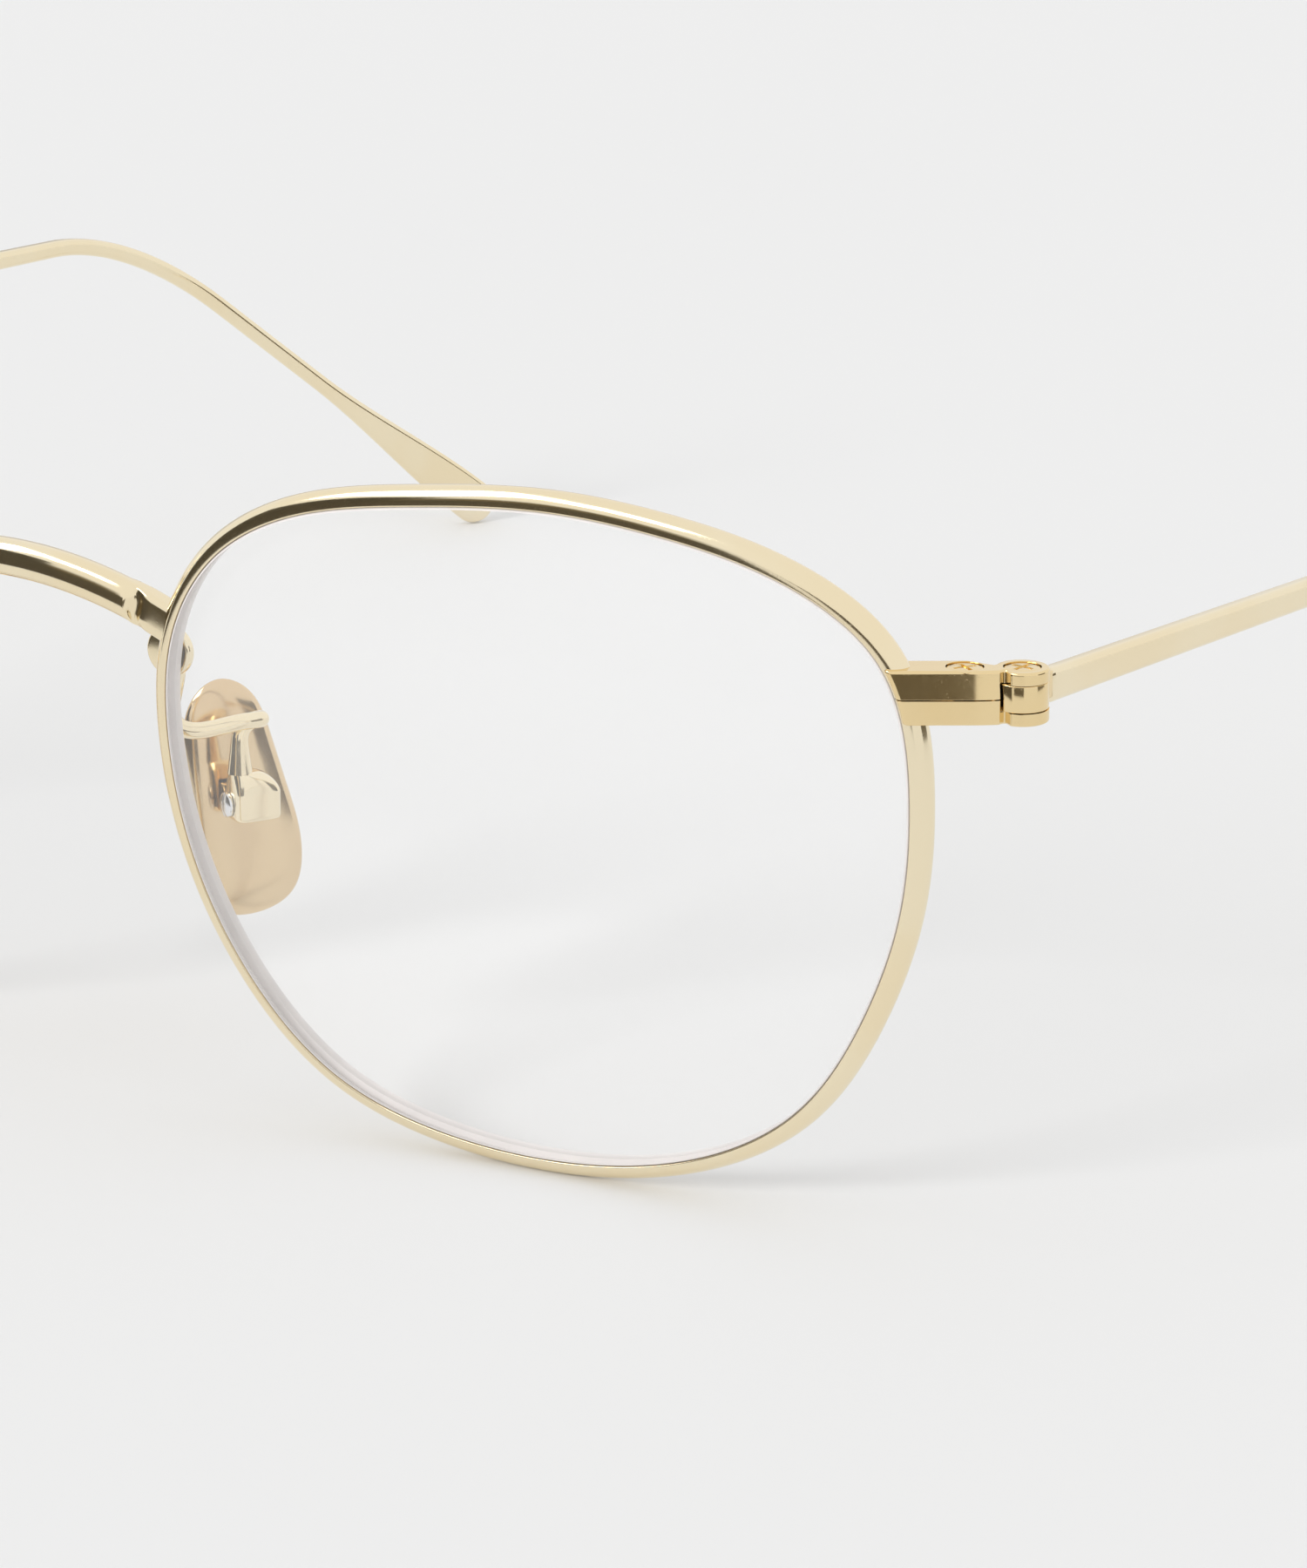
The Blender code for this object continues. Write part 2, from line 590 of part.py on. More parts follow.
def nose_pad():
    """An uneven drop-shaped pad with rounded faces."""
    outline = ClosedSpline([(x * PAD_WIDTH / 2, z * PAD_LENGTH / 2) for x, z in PAD_SHAPE])
    points = [outline.at(outline.length * i / 28)[0] for i in range(28)]
    half = PAD_THICKNESS / 2
    layers = ((0.5, -0.94), (0.8, -0.8), (0.95, -0.45), (1.0, 0.0), (0.94, 0.55), (0.78, 0.87), (0.45, 0.99))
    rings = []
    for share, depth in layers:
        rings.append([(x * share, PAD_STANDOFF + half * depth, z * share - PAD_DROP) for x, z in points])
    low = (0.0, PAD_STANDOFF - half * 0.96, -PAD_DROP)
    high = (0.0, PAD_STANDOFF + half, -PAD_DROP)
    return domed(rings, low, high)


def pad_tab():
    """The tongue on the pad's back, round about the screw."""
    back = PAD_STANDOFF - PAD_THICKNESS / 2 - BRAZE_GAP
    outline = arc(TAB_RADIUS, 90.0, 270.0, 10)
    outline = [(y, x) for y, x in outline]
    outline += [(back, -TAB_RADIUS), (back, TAB_RADIUS)]
    half = BOX_WIDTH / 2 - BOX_WALL - TAB_CLEARANCE
    return loft([[(x, y, z) for y, z in outline] for x in (-half, half)])


def pad_box():
    """A channel that takes the tongue between its two cheeks."""
    out = BOX_WIDTH / 2
    inside = out - BOX_WALL
    floor = -TAB_RADIUS - TAB_CLEARANCE
    outline = [
        (-out, floor - BOX_WALL), (out, floor - BOX_WALL), (out, BOX_REACH), (inside, BOX_REACH),
        (inside, floor), (-inside, floor), (-inside, BOX_REACH), (-out, BOX_REACH),
    ]
    return prism(outline, -BOX_DROP, BOX_HEIGHT - BOX_DROP)


def along_x(bm):
    bmesh.ops.rotate(bm, cent=(0, 0, 0), matrix=Matrix.Rotation(math.radians(90), 3, "Y"), verts=bm.verts)
    return bm


def pad_screw_hole():
    radius = PAD_SCREW_RADIUS + SCREW_CLEARANCE
    return along_x(turned([(radius, -BOX_WIDTH), (radius, BOX_WIDTH)], 14))


def pad_screw():
    """A small screw through both cheeks, its head on the front one."""
    face = BOX_WIDTH / 2 + SCREW_CLEARANCE
    profile = [
        (PAD_SCREW_HEAD_RADIUS * 0.8, -face - PAD_SCREW_HEAD_HEIGHT),
        (PAD_SCREW_HEAD_RADIUS, -face - PAD_SCREW_HEAD_HEIGHT / 2), (PAD_SCREW_HEAD_RADIUS, -face),
        (PAD_SCREW_RADIUS, -face), (PAD_SCREW_RADIUS, face + PAD_SCREW_HEAD_HEIGHT / 2),
    ]
    return along_x(turned(profile, 14))


def foot_middle():
    """The middle of the arm's foot, behind the rim on its nose side and clear of the lens's back face."""
    place = rim_place_at(LENS_CENTRE.z + ARM_FOOT_RISE, outer=False)
    rim = LENS_PLACE @ rim_point(place)
    lens_back = LENS_THICKNESS * (1 - LENS_BEVEL_PLACE)
    behind = max(WIRE_DEPTH / 2, lens_back) + ARM_FOOT_THICKNESS / 2 + 3 * BRAZE_GAP
    return rim + Vector((-ARM_FOOT_PLACE, behind, 0.0))


def arm_foot():
    half = ARM_FOOT_THICKNESS / 2
    edge = 0.15 * MM
    profile = [
        (ARM_FOOT_RADIUS - edge, -half), (ARM_FOOT_RADIUS, edge - half), (ARM_FOOT_RADIUS, half - edge),
        (ARM_FOOT_RADIUS - edge, half),
    ]
    bm = turned(profile, 18)
    bmesh.ops.rotate(bm, cent=(0, 0, 0), matrix=Matrix.Rotation(math.radians(90), 3, "X"), verts=bm.verts)
    return bm


def pad_arm_route():
    foot = foot_middle()
    behind = ARM_FOOT_THICKNESS / 2 + ARM_DIAMETER / 2 + BRAZE_GAP
    route = []
    for x, y, z in ARM_FROM_FOOT:
        route.append(foot + Vector((x * MM, (y - ARM_FROM_FOOT[0][1]) * MM + behind, z * MM)))
    for x, y, z in ARM_TO_BOX:
        route.append(PAD_PIVOT_POINT + Vector((x, y, z)) * MM)
    route[-1].z = PAD_PIVOT_POINT.z + BOX_HEIGHT - BOX_DROP + BRAZE_GAP
    return open_spline(route, 44)


def add_pad_arms():
    """A bent round wire on each side, from the foot's back to the box's top."""
    route = pad_arm_route()
    for index, side in enumerate((1, -1)):
        name = f"pad_arm_{('left', 'right')[index]}"
        curve = bpy.data.curves.new(name, "CURVE")
        curve.dimensions = "3D"
        curve.bevel_depth = ARM_DIAMETER / 2
        curve.bevel_resolution = 2
        curve.use_fill_caps = True
        spline = curve.splines.new("POLY")
        spline.points.add(len(route) - 1)
        for point, (x, y, z) in zip(spline.points, route):
            point.co = (side * x, y, z, 1.0)
        curve.materials.append(GOLD)
        made = bpy.data.objects.new(name, curve)
        bpy.context.scene.collection.objects.link(made)
        made.parent = ROOTS[index]


# ---- assembly ----

for startup_object in list(bpy.data.objects):
    bpy.data.objects.remove(startup_object)
ROOT = bpy.data.objects.new("eyeglasses", None)
bpy.context.scene.collection.objects.link(ROOT)
ROOTS = [ROOT, ROOT]
TEMPLE_AXES = add_empties("temple_axis", TEMPLE_PLACE, ROOTS)
PAD_AXES = add_empties("pad_axis", BOX_PLACE, ROOTS)

hinge_cutters = add_cutters("hinge_cutter", hinge_cutter, BLOCK_PLACE)
closing_place = BLOCK_PLACE @ Matrix.Translation((-CLOSING_SCREW_PLACE, 0.0, 0.0))
closing_cutters = add_cutters("closing_cutter", closing_cutter, closing_place)
block_cutters = (hinge_cutters, closing_cutters)
half_height = BLOCK_HEIGHT / 2
above_split = SPLIT_GAP / 2 - SPLIT_DROP
below_split = -SPLIT_GAP / 2 - SPLIT_DROP

bridge_bar = add_object("bridge", bridge(), Matrix.Identity(4), GOLD, 40)
bridge_bar.parent = ROOT
add_pair("eyewire", eyewire, LENS_PLACE, GOLD, smooth_angle=30)
add_pair("lens", lens, LENS_PLACE, CLEAR_LENS, smooth_angle=30)
halves = {"block_upper": (above_split, half_height), "block_lower": (-half_height, below_split)}
for half_name, (low, high) in halves.items():
    add_pair(half_name, lambda: block_half(low, high), BLOCK_PLACE, GOLD, None, block_cutters, 30)
slot_turns = {"closing_screw": (closing_place, 25.0), "hinge_screw": (BLOCK_PLACE, -40.0)}
for screw_name, (screw_place, slot_turn) in slot_turns.items():
    turned_place = screw_place @ Matrix.Rotation(math.radians(slot_turn), 4, "Z")
    slots = add_cutters(f"{screw_name}_slot", screw_slot, turned_place)
    add_pair(screw_name, frame_screw, turned_place, GOLD, None, (slots,), 30)

knuckle_cutters = add_cutters("knuckle_cutter", knuckle_cutter, TEMPLE_PLACE)
add_pair("temple_knuckle", temple_knuckle, TEMPLE_PLACE, GOLD, TEMPLE_AXES, (knuckle_cutters,), 30)
add_pair("temple", temple, TEMPLE_PLACE, GOLD, TEMPLE_AXES, smooth_angle=50)

screw_holes = add_cutters("pad_screw_hole", pad_screw_hole, BOX_PLACE)
tab_holes = add_cutters("pad_tab_hole", pad_screw_hole, PAD_PLACE)
add_pair("pad_box", pad_box, BOX_PLACE, GOLD, None, (screw_holes,), 30)
add_pair("pad_screw", pad_screw, BOX_PLACE, SCREW_STEEL, smooth_angle=30)
add_pair("pad_tab", pad_tab, PAD_PLACE, GOLD, PAD_AXES, (tab_holes,), 30)
add_pair("nose_pad", nose_pad, PAD_PLACE, PAD_GOLD, PAD_AXES, smooth_angle=60)
add_pair("pad_arm_foot", arm_foot, Matrix.Translation(foot_middle()), GOLD, smooth_angle=30)
add_pad_arms()

bpy.context.view_layer.update()
corners = []
for piece in bpy.context.scene.objects:
    if piece.type == "MESH" and not piece.hide_render:
        corners += [piece.matrix_world @ vertex.co for vertex in piece.data.vertices]
front_to_back = [min(c.y for c in corners), max(c.y for c in corners)]
ROOT.location = (0.0, -sum(front_to_back) / 2, -min(c.z for c in corners))
bpy.context.view_layer.update()
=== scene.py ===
"""The finished look of a pair of full-rim metal eyeglasses: every piece is rebuilt as a fine mesh round the
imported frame, with procedural metals and lens materials, on a plain studio floor."""

import json
import math

import bmesh
import bpy
import numpy as np
from mathutils import Matrix, Vector


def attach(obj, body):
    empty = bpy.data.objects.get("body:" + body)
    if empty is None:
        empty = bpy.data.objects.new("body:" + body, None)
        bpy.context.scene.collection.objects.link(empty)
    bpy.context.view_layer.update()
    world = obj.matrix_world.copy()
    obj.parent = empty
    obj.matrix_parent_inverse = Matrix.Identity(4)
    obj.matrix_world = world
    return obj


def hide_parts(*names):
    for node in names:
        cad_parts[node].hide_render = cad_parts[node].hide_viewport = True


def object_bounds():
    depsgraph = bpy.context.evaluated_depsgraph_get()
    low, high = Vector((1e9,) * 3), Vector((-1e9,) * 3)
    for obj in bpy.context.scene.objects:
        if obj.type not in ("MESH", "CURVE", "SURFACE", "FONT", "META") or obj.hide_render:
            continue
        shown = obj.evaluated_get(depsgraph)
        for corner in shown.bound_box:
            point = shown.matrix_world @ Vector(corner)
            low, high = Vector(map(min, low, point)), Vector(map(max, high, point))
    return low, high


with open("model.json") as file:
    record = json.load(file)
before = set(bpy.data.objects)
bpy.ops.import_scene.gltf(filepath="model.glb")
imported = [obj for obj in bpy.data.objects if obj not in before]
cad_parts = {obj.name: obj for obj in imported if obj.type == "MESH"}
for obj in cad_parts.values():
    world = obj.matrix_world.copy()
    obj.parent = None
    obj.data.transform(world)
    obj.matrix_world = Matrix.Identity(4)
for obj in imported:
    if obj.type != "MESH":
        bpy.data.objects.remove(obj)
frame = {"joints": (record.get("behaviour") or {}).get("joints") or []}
CAD_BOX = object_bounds()

bl_info = {
    "name": "Metal Eyeglasses",
    "version": (1, 0, 0),
    "blender": (4, 5, 0),
    "location": "3D View > Sidebar > Eyeglasses",
    "description": "Builds a pair of full-rim metal eyeglasses and a studio for them",
    "category": "Add Mesh",
}

MM = 0.001
HAIR = 0.001 * MM
PLAY = 0.05 * MM
HERE = Matrix.Identity(4)
SIDES = (("left", 1.0), ("right", -1.0))
FRONT = ("front", "front")
TEMPLES = ("temple_left", "temple_right")
PADS = ("pad_left", "pad_right")
JOINTS = {joint["name"]: joint for joint in frame["joints"]}


# ---- settings ----


def length(name, description, default):
    return bpy.props.FloatProperty(
        name=name, description=description, default=default * MM, min=0.0, unit="LENGTH", precision=5
    )


def angle(name, description, default):
    return bpy.props.FloatProperty(
        name=name, description=description, default=math.radians(default), unit="ROTATION"
    )


def colour(name, description, default):
    return bpy.props.FloatVectorProperty(
        name=name, description=description, default=default, size=3, min=0.0, max=1.0, subtype="COLOR"
    )


def factor(name, description, default, most=1.0):
    return bpy.props.FloatProperty(
        name=name, description=description, default=default, min=0.0, max=most, subtype="FACTOR"
    )


class EYEGLASSES_PG_front(bpy.types.PropertyGroup):
    """Sizes of the lenses, rims and bridge"""

    lens_width: length("Lens width", "Across the rim's centreline", 48.4)
    lens_height: length("Lens height", "From bottom to top of the rim's centreline", 40.6)
    bridge_gap: length("Bridge gap", "Between the two rims' centrelines", 21.2)
    lens_radius: length("Lens radius", "Of the ball that the lens surface is cut from", 117.0)
    lens_thickness: length("Lens thickness", "From front face to back face", 1.8)
    lens_front: factor("Bevel place", "Share of the lens in front of the bevel's peak", 0.42)
    tilt: angle("Tilt", "How far the lenses lean forwards at the top", 5.7)
    wrap: angle("Wrap", "How far the outer edges of the lenses go back", 3.2)
    wire_width: length("Wire width", "Of the rim, seen from the front", 1.0)
    wire_depth: length("Wire depth", "Of the rim, front to back", 1.6)
    wire_lip: factor("Lip", "Flat part of the rim's front, as a share of its width", 0.3)
    groove_depth: length("Groove depth", "Of the lens groove", 0.32)
    groove_width: length("Groove width", "Of the lens groove", 1.1)
    bridge_rise: length("Bridge rise", "Of the bridge's middle above the lens centre", 12.1)
    bridge_arch: length("Bridge arch", "Radius of the bridge's arch", 24.0)
    bridge_bow: length("Bridge bow", "How far the bridge stands forwards in its middle", 0.9)
    bridge_diameter: length("Bridge diameter", "Of the round bar", 2.25)
    bridge_foot: length("Foot depth", "Of the flat feet of the bridge", 1.6)
    bridge_foot_length: length("Foot length", "From the rim to the round bar", 2.3)


class EYEGLASSES_PG_hinge(bpy.types.PropertyGroup):
    """Sizes of the closing blocks, hinges and screws"""

    rise: length("Block rise", "Of the block's middle above the lens centre", 11.4)
    sweep: angle("Sweep", "How far the block turns back", 31.0)
    height: length("Block height", "Of both halves together", 3.0)
    front: length("Front", "From the hinge axis to the front face", 1.2)
    back: length("Back", "From the hinge axis to the back face", 1.25)
    reach: length("Block length", "From the rim's centreline to the hinge axis", 6.05)
    rim_inset: length("Rim inset", "Of the rim's centreline behind the front face", 1.0)
    overhang: length("Overhang", "Of the block past the rim's centreline", 0.85)
    split_drop: length("Split drop", "Of the split below the block's middle", 0.1)
    split_gap: length("Split gap", "Between the block's two halves", 0.07)
    notch_place: length("Notch place", "From the hinge axis", 0.95)
    notch_width: length("Notch width", "Of the upright groove beside the hinge", 0.62)
    notch_depth: length("Notch depth", "Of that groove", 0.3)
    knuckle_radius: length("Knuckle radius", "Of the hinge barrel", 1.5)
    knuckle_height: length("Knuckle height", "Of the temple's knuckle", 1.5)
    screw_place: length("Closing screw place", "From the hinge axis", 3.1)
    screw_radius: length("Screw radius", "Of the shank", 0.6)
    head_radius: length("Head radius", "Of the screw heads", 1.0)
    head_height: length("Head height", "Of the screw heads", 0.42)
    face_slope: angle("Face slope", "How far the upper half's front leans back", 6.0)


class EYEGLASSES_PG_temple(bpy.types.PropertyGroup):
    """Sizes of the temples"""

    straight: length("Length", "From the hinge axis to the bend's corner", 97.3)
    fall: angle("Fall", "How far the temple slopes down", 3.5)
    splay: angle("Splay", "How far the temple opens outwards", 1.4)
    start: length("Start", "Of the strip, behind the hinge axis", 2.35)
    height: length("Height", "Of the strip at the hinge", 1.95)
    thickness: length("Thickness", "Of the strip at the hinge", 1.1)
    waist: length("Waist", "Height and thickness at the bend", 1.25)
    bend_radius: length("Bend radius", "Of the bend over the ear", 22.0)
    tip_length: length("Tip length", "From the bend's corner to the end", 39.4)
    tip_drop: angle("Tip drop", "How far the tip slopes down", 40.1)
    tip_inward: angle("Tip inward", "How far the tip turns inwards", 35.5)
    tip_width: length("Tip width", "At its widest", 3.4)
    tip_thickness: length("Tip thickness", "At its end", 1.0)
    tip_flare: length("Tip flare", "Length that widens to the tip", 19.0)


class EYEGLASSES_PG_pad(bpy.types.PropertyGroup):
    """Sizes of the nose pads and their arms"""

    splay: angle("Splay", "How far the pads open backwards", 30.0)
    lean: angle("Lean", "How far the pads lean", 6.2)
    pad_length: length("Pad length", "From bottom to top", 13.9)
    pad_width: length("Pad width", "From front to back", 7.8)
    pad_thickness: length("Pad thickness", "At its middle", 1.6)
    standoff: length("Standoff", "Of the pad's middle from its screw", 2.3)
    drop: length("Drop", "Of the pad's middle below its screw", 0.3)
    box_width: length("Box width", "Along the pad screw", 2.9)
    box_height: length("Box height", "Of the pad box", 3.05)
    box_drop: length("Box drop", "Of the pad box's bottom below its screw", 0.95)
    box_wall: length("Box wall", "Thickness of the cheeks", 0.45)
    box_reach: length("Box reach", "Of the cheeks past the screw", 0.8)
    tab_radius: length("Tab radius", "Of the pad's tongue", 0.9)
    screw_radius: length("Screw radius", "Of the pad screw", 0.38)
    screw_head: length("Screw head", "Radius of the pad screw's head", 0.75)
    screw_head_height: length("Screw head height", "Of the pad screw", 0.35)
    wire: length("Arm wire", "Diameter of the arm", 1.0)
    foot_radius: length("Foot radius", "Of the disc behind the rim", 1.5)
    foot_thickness: length("Foot thickness", "Of that disc", 0.7)
    foot_rise: length("Foot rise", "Above the lens centre", 7.2)
    foot_place: length("Foot place", "From the rim towards the nose", 0.75)


class EYEGLASSES_PG_finish(bpy.types.PropertyGroup):
    """Colours and gloss of the metals and lenses"""

    gold: colour("Gold", "Plating of the frame", (0.91, 0.80, 0.575))
    gold_deep: colour("Deep gold", "Slow change in the plating", (0.895, 0.755, 0.50))
    block_gold: colour("Block gold", "Plating of the blocks, hinges and screws", (0.87, 0.69, 0.39))
    block_deep: colour("Deep block gold", "Slow change in their plating", (0.84, 0.63, 0.32))
    pad_gold: colour("Pad gold", "Plating of the nose pads", (0.78, 0.605, 0.375))
    pad_deep: colour("Deep pad gold", "Slow change in the pads' plating", (0.70, 0.51, 0.30))
    steel: colour("Screw metal", "Of the pad screws", (0.82, 0.82, 0.83))
    ground_edge: colour("Ground edge", "Of the lens", (0.71, 0.675, 0.66))
    gold_roughness: factor("Gold roughness", "Of the frame", 0.09)
    lens_alpha: factor("Lens presence", "How much of the light the lens face stops", 0.07)


class EYEGLASSES_PG_stage(bpy.types.PropertyGroup):
    """Floor, lights and camera"""

    floor: colour("Floor", "Its colour", (0.87, 0.87, 0.868))
    sky: factor("Sky", "Strength of the even light", 0.785, 4.0)
    mirror_sky: factor("Mirrored sky", "Strength of the light that the metal mirrors", 0.93, 4.0)
    sun: factor("Sun", "Strength of the soft main light", 1.5, 10.0)
    shade: factor("Front shade", "Brightness of the dark front of the studio", 0.17)
    focal: bpy.props.FloatProperty(
        name="Focal length", description="Of the camera, in millimetres", default=144.76, min=1.0
    )


# ---- splines and places ----


class ClosedSpline:
    """The smooth closed curve through some points, measured along its chords."""

    def __init__(self, points):
        self.points = np.array(points, float)
        step = np.roll(self.points, -1, 0) - self.points
        self.gaps = np.linalg.norm(step, axis=1)
        self.knots = np.concatenate([[0.0], np.cumsum(self.gaps)])
        self.length = self.knots[-1]
        count = len(self.points)
        slope = step / self.gaps[:, None]
        system = np.zeros((count, count))
        for i in range(count):
            system[i, i - 1] += self.gaps[i - 1]
            system[i, i] += 2 * (self.gaps[i - 1] + self.gaps[i])
            system[i, (i + 1) % count] += self.gaps[i]
        self.bends = np.linalg.solve(system, 6 * (slope - np.roll(slope, 1, 0)))

    def at(self, places):
        """The points and unit directions at those places."""
        places = np.asarray(places, float) % self.length
        low = np.clip(np.searchsorted(self.knots, places, side="right") - 1, 0, len(self.points) - 1)
        high = (low + 1) % len(self.points)
        gap = self.gaps[low][:, None]
        after = (places - self.knots[low])[:, None] / gap
        before = 1.0 - after
        start, end = self.points[low], self.points[high]
        bend = (before**3 - before) * self.bends[low] + (after**3 - after) * self.bends[high]
        turn = (1 - 3 * before**2) * self.bends[low] + (3 * after**2 - 1) * self.bends[high]
        point = before * start + after * end + bend * gap**2 / 6
        direction = (end - start) / gap + turn * gap / 6
        return point, direction / np.linalg.norm(direction, axis=1)[:, None]


def open_spline(points, count):
    """Points evenly spaced in the parameter of a smooth curve through the given ones."""
    values = np.array([tuple(p) for p in points])
    last = len(values) - 1
    system = np.eye(last + 1)
    right = np.zeros_like(values)
    for i in range(1, last):
        system[i, i - 1 : i + 2] = 1.0, 4.0, 1.0
        right[i] = 6 * (values[i - 1] - 2 * values[i] + values[i + 1])
    bends = np.linalg.solve(system, right)
    place = np.linspace(0, last, count)
    low = np.minimum(place.astype(int), last - 1)
    after = (place - low)[:, None]
    before = 1 - after
    bend = (before**3 - before) * bends[low] + (after**3 - after) * bends[low + 1]
    return before * values[low] + after * values[low + 1] + bend / 6


def unit(vectors):
    """The same directions, each of length 1."""
    vectors = np.asarray(vectors, float)
    return vectors / np.linalg.norm(vectors, axis=-1, keepdims=True)


def moved(matrix, points):
    """The points after a 4 x 4 matrix."""
    m = np.array(matrix)
    return np.asarray(points, float) @ m[:3, :3].T + m[:3, 3]


def smooth(x):
    """From 0 to 1 with no corner at either end."""
    x = np.clip(x, 0.0, 1.0)
    return x * x * (3 - 2 * x)


RIM_SHAPE = (
    (1.0, 0.245), (0.924, 0.655), (0.699, 0.858), (0.397, 0.959), (0.10, 0.992), (-0.248, 0.958),
    (-0.595, 0.869), (-0.84, 0.692), (-0.974, 0.427), (-1.0, 0.13), (-0.954, -0.217),
    (-0.816, -0.576), (-0.586, -0.857), (-0.278, -0.98), (0.06, -1.002), (0.396, -0.928),
    (0.68, -0.73), (0.87, -0.403), (0.973, -0.065),
)
PAD_SHAPE = (
    (-0.16, 1.06), (0.34, 0.94), (0.65, 0.56), (0.89, 0.05), (1.06, -0.48), (0.89, -0.84),
    (0.25, -1.0), (-0.40, -0.92), (-0.68, -0.55), (-0.76, 0.0), (-0.78, 0.5), (-0.61, 0.9),
)
ARM_FROM_FOOT = ((-0.1, 1.0, -0.5), (-0.45, 1.15, -2.3), (-0.7, 1.1, -4.3))
ARM_TO_BOX = (
    (-1.15, -4.05, 5.15), (0.3, -2.5, 5.35), (1.0, -1.3, 5.4), (1.1, -0.45, 5.3), (0.6, -0.15, 5.15),
    (0.08, -0.6, 4.8), (-0.05, -0.95, 4.15), (-0.06, -1.0, 3.3), (-0.06, -1.0, 2.2),
)


class Layout:
    """Where the left side's pieces are, from the settings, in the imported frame."""

    def __init__(self, scene):
        self.front = front = scene.eyeglasses_front
        self.hinge = hinge = scene.eyeglasses_hinge
        self.pad = pad = scene.eyeglasses_pad
        self.rim = ClosedSpline(
            [(x * front.lens_width / 2, z * front.lens_height / 2) for x, z in RIM_SHAPE]
        )
        across = (front.bridge_gap + front.lens_width * math.cos(front.wrap)) / 2
        self.centre = Vector((across, 0.0, front.lens_height / 2))
        turn = Matrix.Rotation(front.wrap, 4, "Z") @ Matrix.Rotation(front.tilt, 4, "X")
        self.lens_place = Matrix.Translation(self.centre) @ turn
        self.block_z = self.centre.z + hinge.rise
        rim_at_block = Vector(self.world_rim(self.rim_place_at(self.block_z, outer=True)))
        sweep = Matrix.Rotation(hinge.sweep, 4, "Z")
        axis = rim_at_block + sweep @ Vector((hinge.reach, hinge.front - hinge.rim_inset, 0.0))
        shift = Vector(JOINTS["temple_left_hinge"]["pos_m"]) - axis
        move = Matrix.Translation(shift)
        self.centre += shift
        self.block_z += shift.z
        self.lens_place = move @ self.lens_place
        self.axis = axis + shift
        self.block_place = Matrix.Translation(self.axis) @ sweep
        splay = Matrix.Rotation(-scene.eyeglasses_temple.splay, 4, "Z")
        self.temple_place = Matrix.Translation(self.axis) @ splay
        self.pivot = Vector(JOINTS["pad_left_rock"]["pos_m"])
        opened = Matrix.Rotation(math.radians(90.0) - pad.splay, 4, "Z")
        self.box_place = Matrix.Translation(self.pivot) @ opened
        self.pad_place = self.box_place @ Matrix.Rotation(-pad.lean, 4, "X")

    def bulge(self, x, z):
        """How far the lens surface curves back at a place in the lens plane."""
        radius = self.front.lens_radius
        return radius - np.sqrt(radius**2 - x * x - z * z)

    def rim_points(self, places, outward=0.0, depth=0.0):
        """Points beside the rim's centreline, in the lens frame."""
        point, direction = self.rim.at(np.atleast_1d(places))
        x = point[:, 0] + direction[:, 1] * outward
        z = point[:, 1] - direction[:, 0] * outward
        return np.stack([x, self.bulge(x, z) + depth, z], axis=1)

    def world_rim(self, place, outward=0.0, depth=0.0):
        return moved(self.lens_place, self.rim_points(place, outward, depth))[0]

    def rim_place_at(self, height, outer):
        """Where the rim's centreline reaches a height, on its outer side or its nose side."""
        places = np.linspace(0, self.rim.length, 2881)
        points = moved(self.lens_place, self.rim_points(places))
        low, high = points[:-1, 2], points[1:, 2]
        beside = (points[:-1, 0] > self.lens_place.translation.x) == outer
        crossed = beside & (np.minimum(low, high) <= height) & (height <= np.maximum(low, high))
        i = int(np.argmax(crossed))
        return places[i] + (height - low[i]) / (high[i] - low[i]) * (places[i + 1] - places[i])


# ---- meshes ----


def strip_faces(rows, sides):
    """Quads between rings of equally many points."""
    ring = np.arange(sides)
    after = (ring + 1) % sides
    faces = []
    for row in range(rows - 1):
        low = row * sides
        high = low + sides
        faces += np.stack([low + ring, low + after, high + after, high + ring], axis=1).tolist()
    return faces


def lofted(rings):
    """A capped skin through rings."""
    rings = np.asarray(rings, float)
    rows, sides = rings.shape[:2]
    faces = strip_faces(rows, sides)
    faces.append(list(range(sides))[::-1])
    faces.append(list(range((rows - 1) * sides, rows * sides)))
    return rings.reshape(-1, 3), faces


def peaked(rings, low_peak, high_peak):
    """A skin through rings that close to a point at each end."""
    rings = np.asarray(rings, float)
    rows, sides = rings.shape[:2]
    faces = strip_faces(rows, sides)
    count = rows * sides
    for i in range(sides):
        j = (i + 1) % sides
        faces.append([j, i, count])
        faces.append([count - sides + i, count - sides + j, count + 1])
    return np.concatenate([rings.reshape(-1, 3), [low_peak, high_peak]]), faces


def around(count):
    """Evenly spaced angles of a whole turn."""
    return 2 * math.pi * np.arange(count) / count


def squared(wave, power):
    """A sine or cosine for a section between a circle, at power 2, and a square."""
    return np.sign(wave) * np.abs(wave) ** (2 / power)


def turned(profile, sides=64):
    """A solid of revolution about Z from its (radius, height) points."""
    x, y = np.cos(around(sides)), np.sin(around(sides))
    return lofted([np.stack([r * x, r * y, np.full(sides, h)], axis=1) for r, h in profile])


def prism(outline, low, high):
    """A flat-ended solid that stands on an outline."""
    outline = np.asarray(outline, float)
    return lofted([np.column_stack([outline, np.full(len(outline), z)]) for z in (low, high)])


def arc(radius, start, end, steps):
    """Points of an arc about the origin, between two angles in degrees."""
    turns = np.radians(np.linspace(start, end, steps + 1))
    return [(radius * math.cos(t), radius * math.sin(t)) for t in turns]


